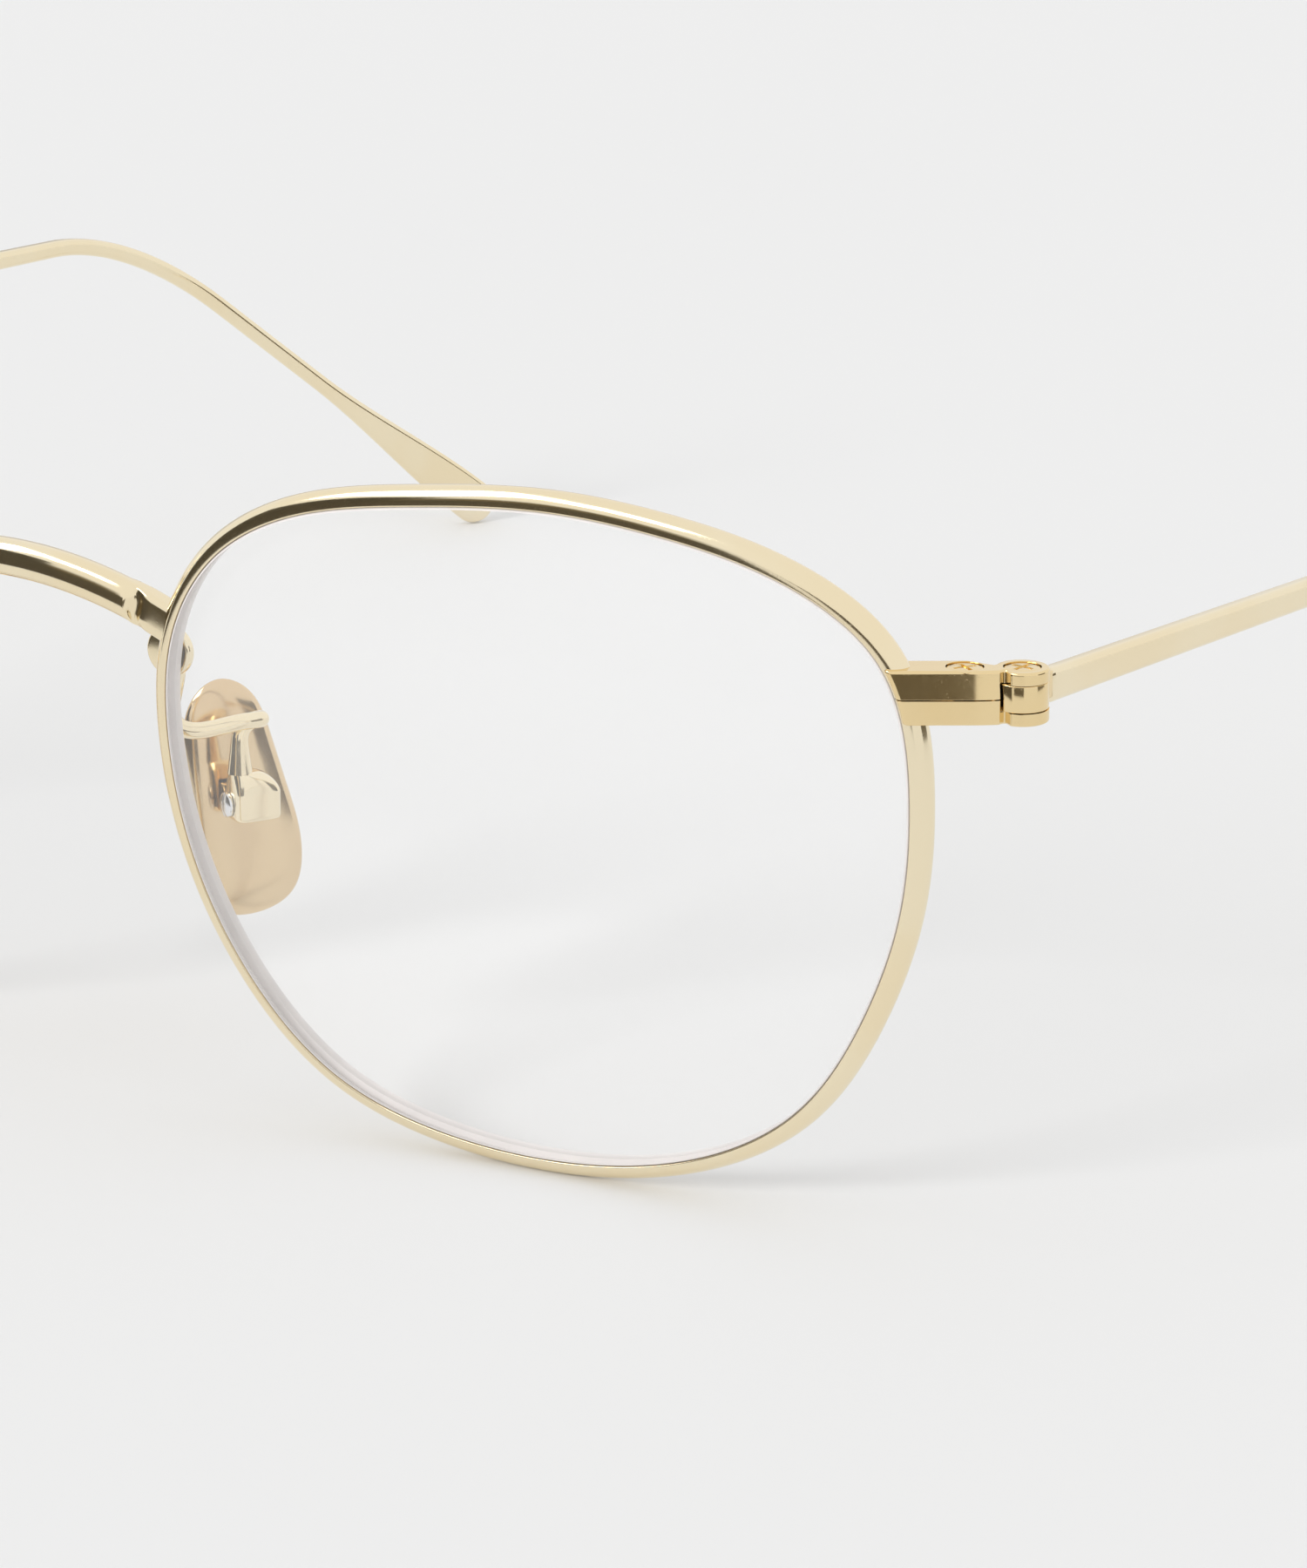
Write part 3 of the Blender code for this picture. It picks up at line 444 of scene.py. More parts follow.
def filleted(corners):
    """A closed outline through (x, y, radius) corners, each rounded to its radius."""
    count = len(corners)
    points = []
    for i in range(count):
        before, here, after = (np.array(corners[(i + k) % count][:2]) for k in (-1, 0, 1))
        into, out = unit(before - here), unit(after - here)
        half = math.acos(np.clip(np.dot(into, out), -1, 1)) / 2
        radius = corners[i][2]
        if radius == 0 or half > 1.5:
            points.append(here)
            continue
        room = 0.48 * min(np.linalg.norm(before - here), np.linalg.norm(after - here))
        reach = min(radius / math.tan(half), room)
        middle = here + unit(into + out) * reach / math.cos(half)
        start, end = here + into * reach - middle, here + out * reach - middle
        for share in np.linspace(0, 1, 9):
            ray = start * (1 - share) + end * share
            points.append(middle + unit(ray) * np.linalg.norm(start))
    return np.array(points)


def slab(size, middle):
    """A box as points and faces."""
    corners = np.array([(x, y, z) for z in (-0.5, 0.5) for y in (-0.5, 0.5) for x in (-0.5, 0.5)])
    faces = [[0, 2, 3, 1], [4, 5, 7, 6], [0, 1, 5, 4], [1, 3, 7, 5], [3, 2, 6, 7], [2, 0, 4, 6]]
    return corners * np.array(size) + np.array(middle), faces


def rounded_section(wide, high, corner, steps):
    """A rectangle with round corners, as (x, y) points."""
    corner = min(corner, wide / 2, high / 2)
    points = []
    for quarter, (sx, sy) in enumerate(((1, 1), (-1, 1), (-1, -1), (1, -1))):
        for i in range(steps + 1):
            turn = math.radians(90.0 * quarter + 90.0 * i / steps)
            x = sx * (wide / 2 - corner) + corner * math.cos(turn)
            y = sy * (high / 2 - corner) + corner * math.sin(turn)
            points.append((x, y))
    return np.array(points)


def raw_mesh(name, points, faces):
    """A mesh whose faces all look outwards."""
    mesh = bpy.data.meshes.new(name)
    mesh.from_pydata([tuple(p) for p in np.asarray(points)], [], faces)
    bm = bmesh.new()
    bm.from_mesh(mesh)
    bmesh.ops.remove_doubles(bm, verts=bm.verts, dist=0.1 * HAIR)
    bmesh.ops.recalc_face_normals(bm, faces=bm.faces)
    bm.to_mesh(mesh)
    bm.free()
    return mesh


def placed(name, data):
    """A new object of the scene that holds the data."""
    made = bpy.data.objects.new(name, data)
    bpy.context.scene.collection.objects.link(made)
    return made


def carved(name, shape, cutters, bevel, segments=3, limit=28.0):
    """The points and faces of a shape after cuts and rounded edges."""
    solid = placed(name, raw_mesh(name, *shape))
    tools = [solid]
    for index, cutter in enumerate(cutters):
        tool = placed(f"{name}_tool", raw_mesh(f"{name}_tool", *cutter))
        tools.append(tool)
        cut = solid.modifiers.new(f"cut {index}", "BOOLEAN")
        cut.operation = "DIFFERENCE"
        cut.solver = "EXACT"
        cut.object = tool
        cut.use_self = True
    rounding = solid.modifiers.new("rounded edges", "BEVEL")
    rounding.width = bevel
    rounding.segments = segments
    rounding.limit_method = "ANGLE"
    rounding.angle_limit = math.radians(limit)
    rounding.use_clamp_overlap = True
    graph = bpy.context.evaluated_depsgraph_get()
    mesh = bpy.data.meshes.new_from_object(solid.evaluated_get(graph))
    points = np.empty(len(mesh.vertices) * 3)
    mesh.vertices.foreach_get("co", points)
    faces = [list(polygon.vertices) for polygon in mesh.polygons]
    if len(faces) < len(shape[1]) / 3:
        raise RuntimeError(f"{name}: a cut removed the piece")
    for tool in tools:
        bpy.data.objects.remove(tool)
    return points.reshape(-1, 3), faces


def add_piece(name, shape, body, materials, node, smooth_angle, pick=None):
    """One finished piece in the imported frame, kept inside the outer size of the whole."""
    low, high = (np.array(corner) for corner in CAD_BOX)
    points = np.clip(np.array(shape[0]), low + HAIR, high - HAIR)
    mesh = raw_mesh(name, points, shape[1])
    for surface in materials:
        mesh.materials.append(surface)
    if pick is not None:
        for polygon in mesh.polygons:
            polygon.material_index = pick(polygon)
    mesh.shade_smooth()
    mesh.set_sharp_from_angle(angle=math.radians(smooth_angle))
    piece = placed(name, mesh)
    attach(piece, body)
    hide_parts(node)


def add_pair(name, shape, place, bodies, materials, smooth_angle, pick=None):
    """The left piece and its mirror image, each in the place of the node of that name."""
    points = moved(place, shape[0])
    for (side, sign), body in zip(SIDES, bodies):
        mirrored = (points * np.array([sign, 1.0, 1.0]), shape[1])
        node = f"{name}_{side}"
        add_piece(node, mirrored, body, materials, node, smooth_angle, pick)


# ---- materials ----


PLATING_RELIEF = 0.0015 * MM
GROUND_RELIEF = 0.004 * MM


class Signal:
    """A node's output, on which arithmetic adds Math nodes."""

    def __init__(self, graph, socket):
        self.graph = graph
        self.socket = socket

    def math(self, operation, first, second):
        return self.graph.node("ShaderNodeMath", {"operation": operation}, {0: first, 1: second})

    def __add__(self, other):
        return self.math("ADD", self, other)

    __radd__ = __add__

    def __sub__(self, other):
        return self.math("SUBTRACT", self, other)

    def __rsub__(self, other):
        return self.math("SUBTRACT", other, self)

    def __mul__(self, other):
        return self.math("MULTIPLY", self, other)

    __rmul__ = __mul__


class Graph:
    """The node tree of a material or of the world."""

    def __init__(self, owner):
        owner.use_nodes = True
        self.tree = owner.node_tree
        self.tree.nodes.clear()

    def node(self, kind, settings=None, sockets=None, output=0):
        """A node with its settings made first, then its sockets' values or links."""
        made = self.tree.nodes.new(kind)
        for key, value in (settings or {}).items():
            setattr(made, key, value)
        for key, value in (sockets or {}).items():
            if isinstance(value, Signal):
                self.tree.links.new(value.socket, made.inputs[key])
            else:
                made.inputs[key].default_value = value
        return Signal(self, made.outputs[output]) if len(made.outputs) else made

    def mix(self, share, first, second):
        """One colour or another."""
        settings = {"data_type": "RGBA"}
        return self.node("ShaderNodeMix", settings, {0: share, 6: first, 7: second}, 2)

    def noise(self, where, scale, detail=2.0, roughness=0.5):
        sockets = {"Vector": where, "Scale": scale, "Detail": detail, "Roughness": roughness}
        return self.node("ShaderNodeTexNoise", None, sockets)

    def where(self):
        """Places on the object, in metres."""
        return self.node("ShaderNodeTexCoord", None, None, "Object")

    def ramp(self, value, low, high):
        """0 below low and 1 above high, smoothly."""
        settings = {"interpolation_type": "SMOOTHSTEP"}
        sockets = {"Value": value, "From Min": low, "From Max": high}
        return self.node("ShaderNodeMapRange", settings, sockets)

    def bump(self, height, distance):
        """A normal tipped at half strength by a height field."""
        sockets = {"Height": height, "Distance": distance, "Strength": 0.5}
        return self.node("ShaderNodeBump", None, sockets)

    def principled(self, sockets):
        """Ends the tree with one Principled shader."""
        shader = self.node("ShaderNodeBsdfPrincipled", None, sockets)
        self.node("ShaderNodeOutputMaterial", None, {"Surface": shader})


def rgba(tint):
    return (*tint, 1.0)


def warm(shade):
    """A brownish grey of that brightness."""
    return rgba((shade, shade * 0.85, shade * 0.6))


def plated_metal(name, light, deep, roughness, polish_scale):
    """Polished plating: a slow change of tone, faint polishing marks and a few fine specks."""
    made = bpy.data.materials.new(name)
    graph = Graph(made)
    where = graph.where()
    slow = graph.ramp(graph.noise(where, 120.0, 3.0), 0.35, 0.65)
    marks = graph.noise(where, polish_scale, 4.0, 0.6)
    waves = graph.noise(where, 800.0, 2.0)
    specks = graph.ramp(graph.noise(where, 9000.0, 1.0), 0.66, 0.74)
    shader = {
        "Base Color": graph.mix(slow * 0.6, rgba(light), rgba(deep)),
        "Roughness": roughness + marks * 0.05 + specks * 0.08,
        "Metallic": 1.0,
        "Normal": graph.bump(waves * 4.0 + marks * 0.6 + specks * 0.4, PLATING_RELIEF),
    }
    graph.principled(shader)
    made.diffuse_color = rgba(light)
    return made


def metals(scene):
    """The frame's gold, the pads' amber gold, the pad screws' nickel and the hinges' deeper gold."""
    finish = scene.eyeglasses_finish
    if "polished_gold_plating" not in bpy.data.materials:
        plated_metal("polished_gold_plating", finish.gold, finish.gold_deep, finish.gold_roughness, 2500.0)
        plated_metal("deep_gold_plating", finish.block_gold, finish.block_deep, finish.gold_roughness, 2500.0)
        plated_metal("amber_pad_plating", finish.pad_gold, finish.pad_deep, 0.11, 1800.0)
        dark_steel = [0.9 * c for c in finish.steel]
        plated_metal("bright_screw_nickel", finish.steel, dark_steel, 0.16, 4000.0)
    names = ("polished_gold_plating", "amber_pad_plating", "bright_screw_nickel", "deep_gold_plating")
    return [bpy.data.materials[name] for name in names]


def lens_materials(finish):
    """The polished faces of a lens and its ground edge."""
    faces = bpy.data.materials.new("clear_lens_faces")
    graph = Graph(faces)
    smear = graph.noise(graph.where(), 90.0, 2.0)
    shader = {
        "Base Color": rgba((0.9, 0.9, 0.9)),
        "Roughness": 0.02 + smear * 0.02,
        "IOR": 1.5,
        "Alpha": finish.lens_alpha,
    }
    graph.principled(shader)
    edge = bpy.data.materials.new("ground_lens_edge")
    graph = Graph(edge)
    where = graph.where()
    grain = graph.noise(where, 14000.0, 2.0)
    cloud = graph.noise(where, 260.0, 2.0)
    pale = [min(1.0, 1.18 * c) for c in finish.ground_edge]
    shader = {
        "Base Color": graph.mix(cloud, rgba(finish.ground_edge), rgba(pale)),
        "Roughness": 0.45 + grain * 0.25,
        "IOR": 1.5,
        "Alpha": 0.9,
        "Normal": graph.bump(grain, GROUND_RELIEF),
    }
    graph.principled(shader)
    return faces, edge


# ---- operators ----


class EYEGLASSES_OT_rims(bpy.types.Operator):
    """Add the grooved eyewires"""

    bl_idname = "eyeglasses.rims"
    bl_label = "Rims"

    def execute(self, context):
        layout = Layout(context.scene)
        front, hinge = layout.front, layout.hinge
        gold = metals(context.scene)[0]
        half_width, half_depth = front.wire_width / 2, front.wire_depth / 2
        lip = front.wire_lip * front.wire_width
        corner = 0.09 * MM
        section = []
        for turn in np.radians(np.linspace(-90, 90, 29)):
            across = lip - half_width + (front.wire_width - lip) * math.cos(turn)
            section.append((across, half_depth * math.sin(turn)))
        inner = []
        for turn in np.radians(np.linspace(0, 90, 5)):
            across = corner - half_width - corner * math.sin(turn)
            inner.append((across, half_depth - corner + corner * math.cos(turn)))
        half_groove = front.groove_width / 2
        mouth = 0.03 * MM
        inner.append((-half_width, half_groove + 0.04 * MM))
        inner.append((mouth - half_width, half_groove - mouth))
        section += inner + [(front.groove_depth - half_width, 0.0)]
        section += [(r, -d) for r, d in reversed(inner)]
        split = layout.block_z - hinge.split_drop
        ends = [split + face * hinge.split_gap / 2 for face in (1, -1)]
        start, stop = (layout.rim_place_at(end, outer=True) for end in ends)
        if stop < start:
            stop += layout.rim.length
        places = np.linspace(start, stop, 361)
        lines = [moved(layout.lens_place, layout.rim_points(places, r, d)) for r, d in section]
        rings = np.stack(lines, axis=1)
        along = unit(np.gradient(rings.mean(axis=1), axis=0))
        fade_length = 1.5 * MM
        ways = (places - start, stop - places)
        for end, height, way in zip((0, -1), ends, ways):
            shift = (height - rings[end, :, 2]) / along[end, 2]
            fade = np.clip(1 - way / fade_length, 0, 1) ** 2
            rings = rings + fade[:, None, None] * shift[None, :, None] * along[end]
        add_pair("eyewire", lofted(rings), HERE, FRONT, [gold], 50.0)
        return {"FINISHED"}


class EYEGLASSES_OT_lenses(bpy.types.Operator):
    """Add the meniscus lenses with their ground edges"""

    bl_idname = "eyeglasses.lenses"
    bl_label = "Lenses"

    def execute(self, context):
        layout = Layout(context.scene)
        front = layout.front
        clearance = 0.04 * MM
        edge = -front.wire_width / 2 - clearance
        peak = edge + front.groove_depth - clearance / 2
        shoulder = front.groove_width / 2 - 2 * clearance
        front_face = -front.lens_front * front.lens_thickness
        back_face = front_face + front.lens_thickness
        ease = 0.12 * MM
        sides = 320
        places = np.linspace(0, layout.rim.length, sides, endpoint=False)
        base = layout.rim_points(places, edge - ease)

        def face_ring(share, depth):
            x, z = base[:, 0] * share, base[:, 2] * share
            return np.stack([x, layout.bulge(x, z) + depth, z], axis=1)

        shares = 1 - (1 - np.linspace(0.05, 1.0, 16)) ** 1.3
        rings = [face_ring(s, front_face) for s in shares]
        shy = ease * 0.3
        for outward, depth in (
            (edge - shy, front_face + shy), (edge, front_face + ease), (edge, -shoulder), (peak, 0.0),
            (edge, 0.3 * MM), (edge, back_face - ease), (edge - shy, back_face - shy),
        ):
            rings.append(layout.rim_points(places, outward, depth))
        rings += [face_ring(s, back_face) for s in shares[::-1]]
        shape = peaked(rings, (0, front_face, 0), (0, back_face, 0))
        reach = np.linalg.norm(base[:, [0, 2]], axis=1)
        turn = np.arctan2(base[:, 2], base[:, 0])
        order = np.argsort(turn)
        to_lens = layout.lens_place.inverted()
        radius = front.lens_radius

        def is_edge(polygon):
            x, y, z = moved(to_lens, [abs(polygon.center.x), polygon.center.y, polygon.center.z])
            limit = np.interp(math.atan2(z, x), turn[order], reach[order], period=2 * math.pi)
            depth = y - radius + math.sqrt(radius**2 - x * x - z * z)
            return int(math.hypot(x, z) > limit and depth < back_face - ease)

        surfaces = lens_materials(context.scene.eyeglasses_finish)
        add_pair("lens", shape, layout.lens_place, FRONT, surfaces, 25.0, is_edge)
        return {"FINISHED"}


class EYEGLASSES_OT_bridge(bpy.types.Operator):
    """Add the arched bridge with its scooped feet"""

    bl_idname = "eyeglasses.bridge"
    bl_label = "Bridge"

    def execute(self, context):
        layout = Layout(context.scene)
        front = layout.front
        landing_drop, into_rim = 2.6 * MM, 0.45 * MM
        height = layout.centre.z + front.bridge_rise - landing_drop
        rim_place = layout.rim_place_at(height, outer=False)
        side = layout.world_rim(rim_place, front.wire_width / 2)
        reach = side[0] + into_rim
        radius = front.bridge_diameter / 2
        arch = front.bridge_arch
        x = np.linspace(-reach, reach, 241)
        back = side[1] + front.bridge_bow * ((x / side[0]) ** 2 - 1.0)
        top = layout.centre.z + front.bridge_rise - (arch - np.sqrt(arch**2 - x * x))
        middle = np.stack([x, back, top], axis=1)
        along = unit(np.gradient(middle, axis=0))
        up = unit(np.array([0, 0, 1.0]) - along * along[:, 2:3])
        across = np.cross(along, up)
        across *= np.sign(across[:, 1:2])
        sines, cosines = np.sin(around(64)), np.cos(around(64))
        step_slant = 0.45
        step_length, scoop_width = 0.7 * MM, 0.4 * MM
        lean = math.radians(10.0)
        slim = 0.985
        rings = []
        for i in range(len(x)):
            start = side[0] - front.bridge_foot_length - step_slant * radius * sines
            stepped = smooth((abs(x[i]) - start) / step_length)
            flatness = 2.4 + 1.9 * stepped
            high = radius * squared(sines, flatness)
            deep = radius * squared(cosines, flatness)
            scoop = np.exp(-(((abs(x[i]) - start - step_length) / scoop_width) ** 2))
            thinner = 1 - (1 - front.bridge_foot / front.bridge_diameter) * stepped - 0.22 * scoop
            deep = deep * np.where(deep < 0, thinner, 1 - (1 - thinner) * 0.5)
            turn = lean * (1 - stepped)
            rise = slim * (high * np.cos(turn) - deep * np.sin(turn))
            depth = slim * (deep * np.cos(turn) + high * np.sin(turn))
            rings.append(middle[i] + np.outer(rise, up[i]) + np.outer(depth, across[i]))
        gold = metals(context.scene)[0]
        add_piece("bridge_bar", lofted(rings), "front", [gold], "bridge", 60.0)
        return {"FINISHED"}


class EYEGLASSES_OT_blocks(bpy.types.Operator):
    """Add the two halves of each closing block"""

    bl_idname = "eyeglasses.blocks"
    bl_label = "Closing Blocks"

    def outline(self, layout, height):
        """The block from above, at one height, with rounded corners."""
        hinge = layout.hinge
        rim = layout.world_rim(layout.rim_place_at(layout.axis.z + height, outer=True))
        end = (layout.block_place.inverted() @ Vector(rim)).x - hinge.overhang
        front = -hinge.front + max(0.0, height + hinge.split_drop) * math.tan(hinge.face_slope)
        flat_end, turn_back = -2.75 * MM, 0.13 * MM
        nose, crease, heel = 0.32 * MM, 0.2 * MM, 0.22 * MM
        groove_start = -hinge.notch_place - hinge.notch_width / 2
        corners = [(end, front, nose)]
        for share in np.linspace(0, 1, 9)[:-1]:
            corners.append((flat_end + (groove_start - flat_end) * share, front + turn_back * share**2, 0))
        corners.append((groove_start, front + turn_back, crease))
        corners.append((-hinge.notch_place, front + turn_back + hinge.notch_depth, 0.1 * MM))
        barrel = arc(hinge.knuckle_radius, -117.0, 165.0, 64)
        corners += [(*barrel[0], crease)] + [(x, y, 0) for x, y in barrel[3:]]
        corners += [(-2.9 * MM, hinge.back, 0), (end + 1.25 * MM, hinge.back, heel)]
        corners.append((end + 0.1 * MM, front + hinge.rim_inset, heel))
        return filleted(corners)

    def half(self, layout, low, high, low_edge, high_edge):
        """One half as a skin through outlines that draw in towards its rounded edges."""

        def edge(start, radius, way):
            turns = [math.pi / 2 * k / 6 for k in range(7)]
            curve = [(start + way * radius * (1 - math.cos(t)), radius * (1 - math.sin(t))) for t in turns]
            return [(start, radius + step), *curve, (start + way * (radius + step), 0.0)]

        step = 0.02 * MM
        levels = edge(low, low_edge, 1) + [((low + high) / 2, 0.0)] + edge(high, high_edge, -1)[::-1]
        rings = []
        for z, inset in levels:
            line = self.outline(layout, z)
            along = unit(np.roll(line, -1, 0) - np.roll(line, 1, 0))
            inward = np.column_stack([-along[:, 1], along[:, 0]])
            rings.append(np.column_stack([line + inward * inset, np.full(len(line), z)]))
        return lofted(rings)

    def execute(self, context):
        layout = Layout(context.scene)
        hinge = layout.hinge
        gold = metals(context.scene)[3]
        half = hinge.height / 2
        hole = hinge.screw_radius + PLAY
        head = hinge.head_radius + PLAY
        floor = half - hinge.head_height - PLAY
        slot = hinge.knuckle_height / 2 + 0.04 * MM
        wide = hinge.knuckle_radius + 0.1 * MM
        seat = [(hole, floor), (head, floor), (head, hinge.height)]
        gap_profile = [(hole, -slot), (wide, -slot), (wide, slot), (hole, slot)]
        hinge_cutter = turned([(hole, -hinge.height)] + gap_profile + seat)
        closing = turned([(hole, -hinge.height)] + seat)
        closing = (closing[0] - np.array([hinge.screw_place, 0, 0]), closing[1])
        split, gap = -hinge.split_drop, hinge.split_gap / 2
        halves = {
            "block_upper": (split + gap, half, 0.02 * MM, 0.15 * MM),
            "block_lower": (-half, split - gap, 0.12 * MM, 0.02 * MM),
        }
        for name, sizes in halves.items():
            shape = carved(name, self.half(layout, *sizes), (hinge_cutter, closing), 0.035 * MM, 3, 60.0)
            add_pair(name, shape, layout.block_place, FRONT, [gold], 40.0)
        return {"FINISHED"}


class EYEGLASSES_OT_screws(bpy.types.Operator):
    """Add the closing screws and hinge screws with their cross slots"""

    bl_idname = "eyeglasses.screws"
    bl_label = "Frame Screws"

    def execute(self, context):
        layout = Layout(context.scene)
        hinge = layout.hinge
        gold = metals(context.scene)[3]
        top = hinge.height / 2 - 0.01 * MM
        under = top - hinge.head_height
        end = -hinge.height / 2 + 0.1 * MM
        point = 0.12 * MM
        head = hinge.head_radius
        shank = hinge.screw_radius
        dome = [(head * s, top - 0.07 * MM * s**4) for s in (0.99, 0.9, 0.75, 0.5, 0.2)]
        profile = [(shank - point, end), (shank, end + point), (shank, under)]
        profile += [(head, under), (head, top - 0.11 * MM), *dome]
        slot_length, slot_width, slot_depth = 1.35 * head, 0.26 * MM, 0.22 * MM
        bars = [
            slab((slot_length, slot_width, 2 * slot_depth), (0, 0, top)),
            slab((slot_width, slot_length, 2 * slot_depth), (0, 0, top)),
        ]
        shape = carved("screw", turned(profile), bars, 0.03 * MM, 2)
        places = {
            "closing_screw": (layout.block_place @ Matrix.Translation((-hinge.screw_place, 0, 0)), 25.0),
            "hinge_screw": (layout.block_place, -40.0),
        }
        for name, (place, turn) in places.items():
            place = place @ Matrix.Rotation(math.radians(turn), 4, "Z")
            add_pair(name, shape, place, FRONT, [gold], 40.0)
        return {"FINISHED"}


class EYEGLASSES_OT_temples(bpy.types.Operator):
    """Add the temples and their knuckles"""

    bl_idname = "eyeglasses.temples"
    bl_label = "Temples"

    def knuckle(self, layout, temple):
        """The temple's ring round the hinge screw, with its neck."""
        hinge = layout.hinge
        neck = temple.thickness / 2 - 0.05 * MM
        radius = hinge.knuckle_radius - 0.03 * MM
        from_side = math.degrees(math.acos(neck / radius))
        back = temple.start + 0.2 * MM
        outline = [(neck, back), (-neck, back)] + arc(radius, 180.0 - from_side, 360.0 + from_side, 60)
        half = hinge.knuckle_height / 2
        bore = hinge.screw_radius + PLAY
        hole = turned([(bore, -hinge.height), (bore, hinge.height)])
        return carved("knuckle", prism(outline, -half, half), (hole,), 0.05 * MM)

    def strip(self, temple):
        """A flat strip that narrows to a wire, bends down and inwards and flares to a flat tip."""
        first = Vector((0.0, math.cos(temple.fall), -math.sin(temple.fall)))
        level = math.cos(temple.tip_drop)
        inward = temple.tip_inward
        last = Vector((-level * math.sin(inward), level * math.cos(inward), -math.sin(temple.tip_drop)))
        corner = first * temple.straight
        turn = first.angle(last)
        cut = temple.bend_radius * math.tan(turn / 2)
        sideways = (last - first * first.dot(last)).normalized()
        centre = corner - first * cut + sideways * temple.bend_radius
        straight = temple.straight - cut
        waist = temple.waist
        run_in = 0.5 * MM

        def station(past, share):
            """A section of the straight part, drawn in at its very start."""
            begin = smooth(past / run_in + 0.1)
            high = temple.height + (waist - temple.height) * share
            deep = temple.thickness + (waist - temple.thickness) * share
            size = (high * (0.88 + 0.12 * begin), deep * (0.8 + 0.2 * begin))
            return first * (temple.start + past), first, size

        stations = [station(past * MM, 0.0) for past in (0.0, 0.08, 0.2, 0.35, 0.5)]
        for share in np.linspace(0, 1, 60)[1:]:
            stations.append(station((straight - temple.start) * share, share))
        for i in range(1, 41):
            bend = turn * i / 40
            radial = sideways * -math.cos(bend) + first * math.sin(bend)
            along = first * math.cos(bend) + sideways * math.sin(bend)
            stations.append((centre + radial * temple.bend_radius, along, (waist, waist)))
        rounding = temple.tip_width / 2
        left = list(np.linspace(temple.tip_flare, rounding * 1.02, 36))
        left += [rounding * k for k in (1 - np.sin(np.linspace(0.05, math.pi / 2 * 0.995, 14)))]
        for to_end in left:
            share = min(1.0, (temple.tip_flare - to_end) / (temple.tip_flare - rounding))
            ease = share * share * (3 - 2 * share)
            width = waist + (temple.tip_width - waist) * ease
            deep = waist + (temple.tip_thickness - waist) * ease
            if to_end < rounding:
                shrink = math.sqrt(max(1e-4, 1 - (1 - to_end / rounding) ** 2))
                width *= shrink
                deep *= 0.35 + 0.65 * shrink**0.6
            stations.append((corner + last * (temple.tip_length - to_end), last, (width, deep)))
        rings = []
        for point, along, (high, deep) in stations:
            up = (Vector((0, 0, 1)) - along * along.z).normalized()
            across = along.cross(up)
            section = rounded_section(deep, high, 0.36 * min(high, deep), 8)
            rings.append(np.array(point) + np.outer(section[:, 0], across) + np.outer(section[:, 1], up))
        return lofted(rings)

    def execute(self, context):
        layout = Layout(context.scene)
        temple = context.scene.eyeglasses_temple
        gold, _, _, deep_gold = metals(context.scene)
        knuckle = self.knuckle(layout, temple)
        place = layout.temple_place
        add_pair("temple_knuckle", knuckle, place, TEMPLES, [deep_gold], 40.0)
        add_pair("temple", self.strip(temple), place, TEMPLES, [gold], 60.0)
        return {"FINISHED"}


class EYEGLASSES_OT_pads(bpy.types.Operator):
    """Add the nose pads and the tongues behind them"""

    bl_idname = "eyeglasses.pads"
    bl_label = "Nose Pads"

    def execute(self, context):
        layout = Layout(context.scene)
        pad = layout.pad
        gold, amber = metals(context.scene)[:2]
        outline = ClosedSpline([(x * pad.pad_width / 2, z * pad.pad_length / 2) for x, z in PAD_SHAPE])
        rim, _ = outline.at(np.linspace(0, outline.length, 128, endpoint=False))
        half = pad.pad_thickness / 2
        fullness = 0.42
        rings = []
        for turn in np.linspace(-math.pi / 2, math.pi / 2, 42)[1:-1]:
            share = math.cos(turn) ** fullness
            depth = half * math.sin(turn)
            x, z = rim[:, 0] * share, rim[:, 1] * share
            rings.append(np.stack([x, np.full_like(x, pad.standoff + depth), z - pad.drop], axis=1))
        low = (0.0, pad.standoff - half, -pad.drop)
        high = (0.0, pad.standoff + half, -pad.drop)
        shape = peaked(rings, low, high)
        add_pair("nose_pad", shape, layout.pad_place, PADS, [amber], 80.0)
        back = pad.standoff - half + 0.1 * MM
        outline = arc(pad.tab_radius, 90.0, 270.0, 28)
        outline += [(back, -pad.tab_radius), (back, pad.tab_radius)]
        wide = pad.box_width / 2 - pad.box_wall - 0.07 * MM
        rings = [[(x, y, z) for y, z in outline] for x in (-wide, wide)]
        tab = carved("tab", lofted(rings), (), 0.08 * MM)
        add_pair("pad_tab", tab, layout.pad_place, PADS, [gold], 40.0)
        return {"FINISHED"}


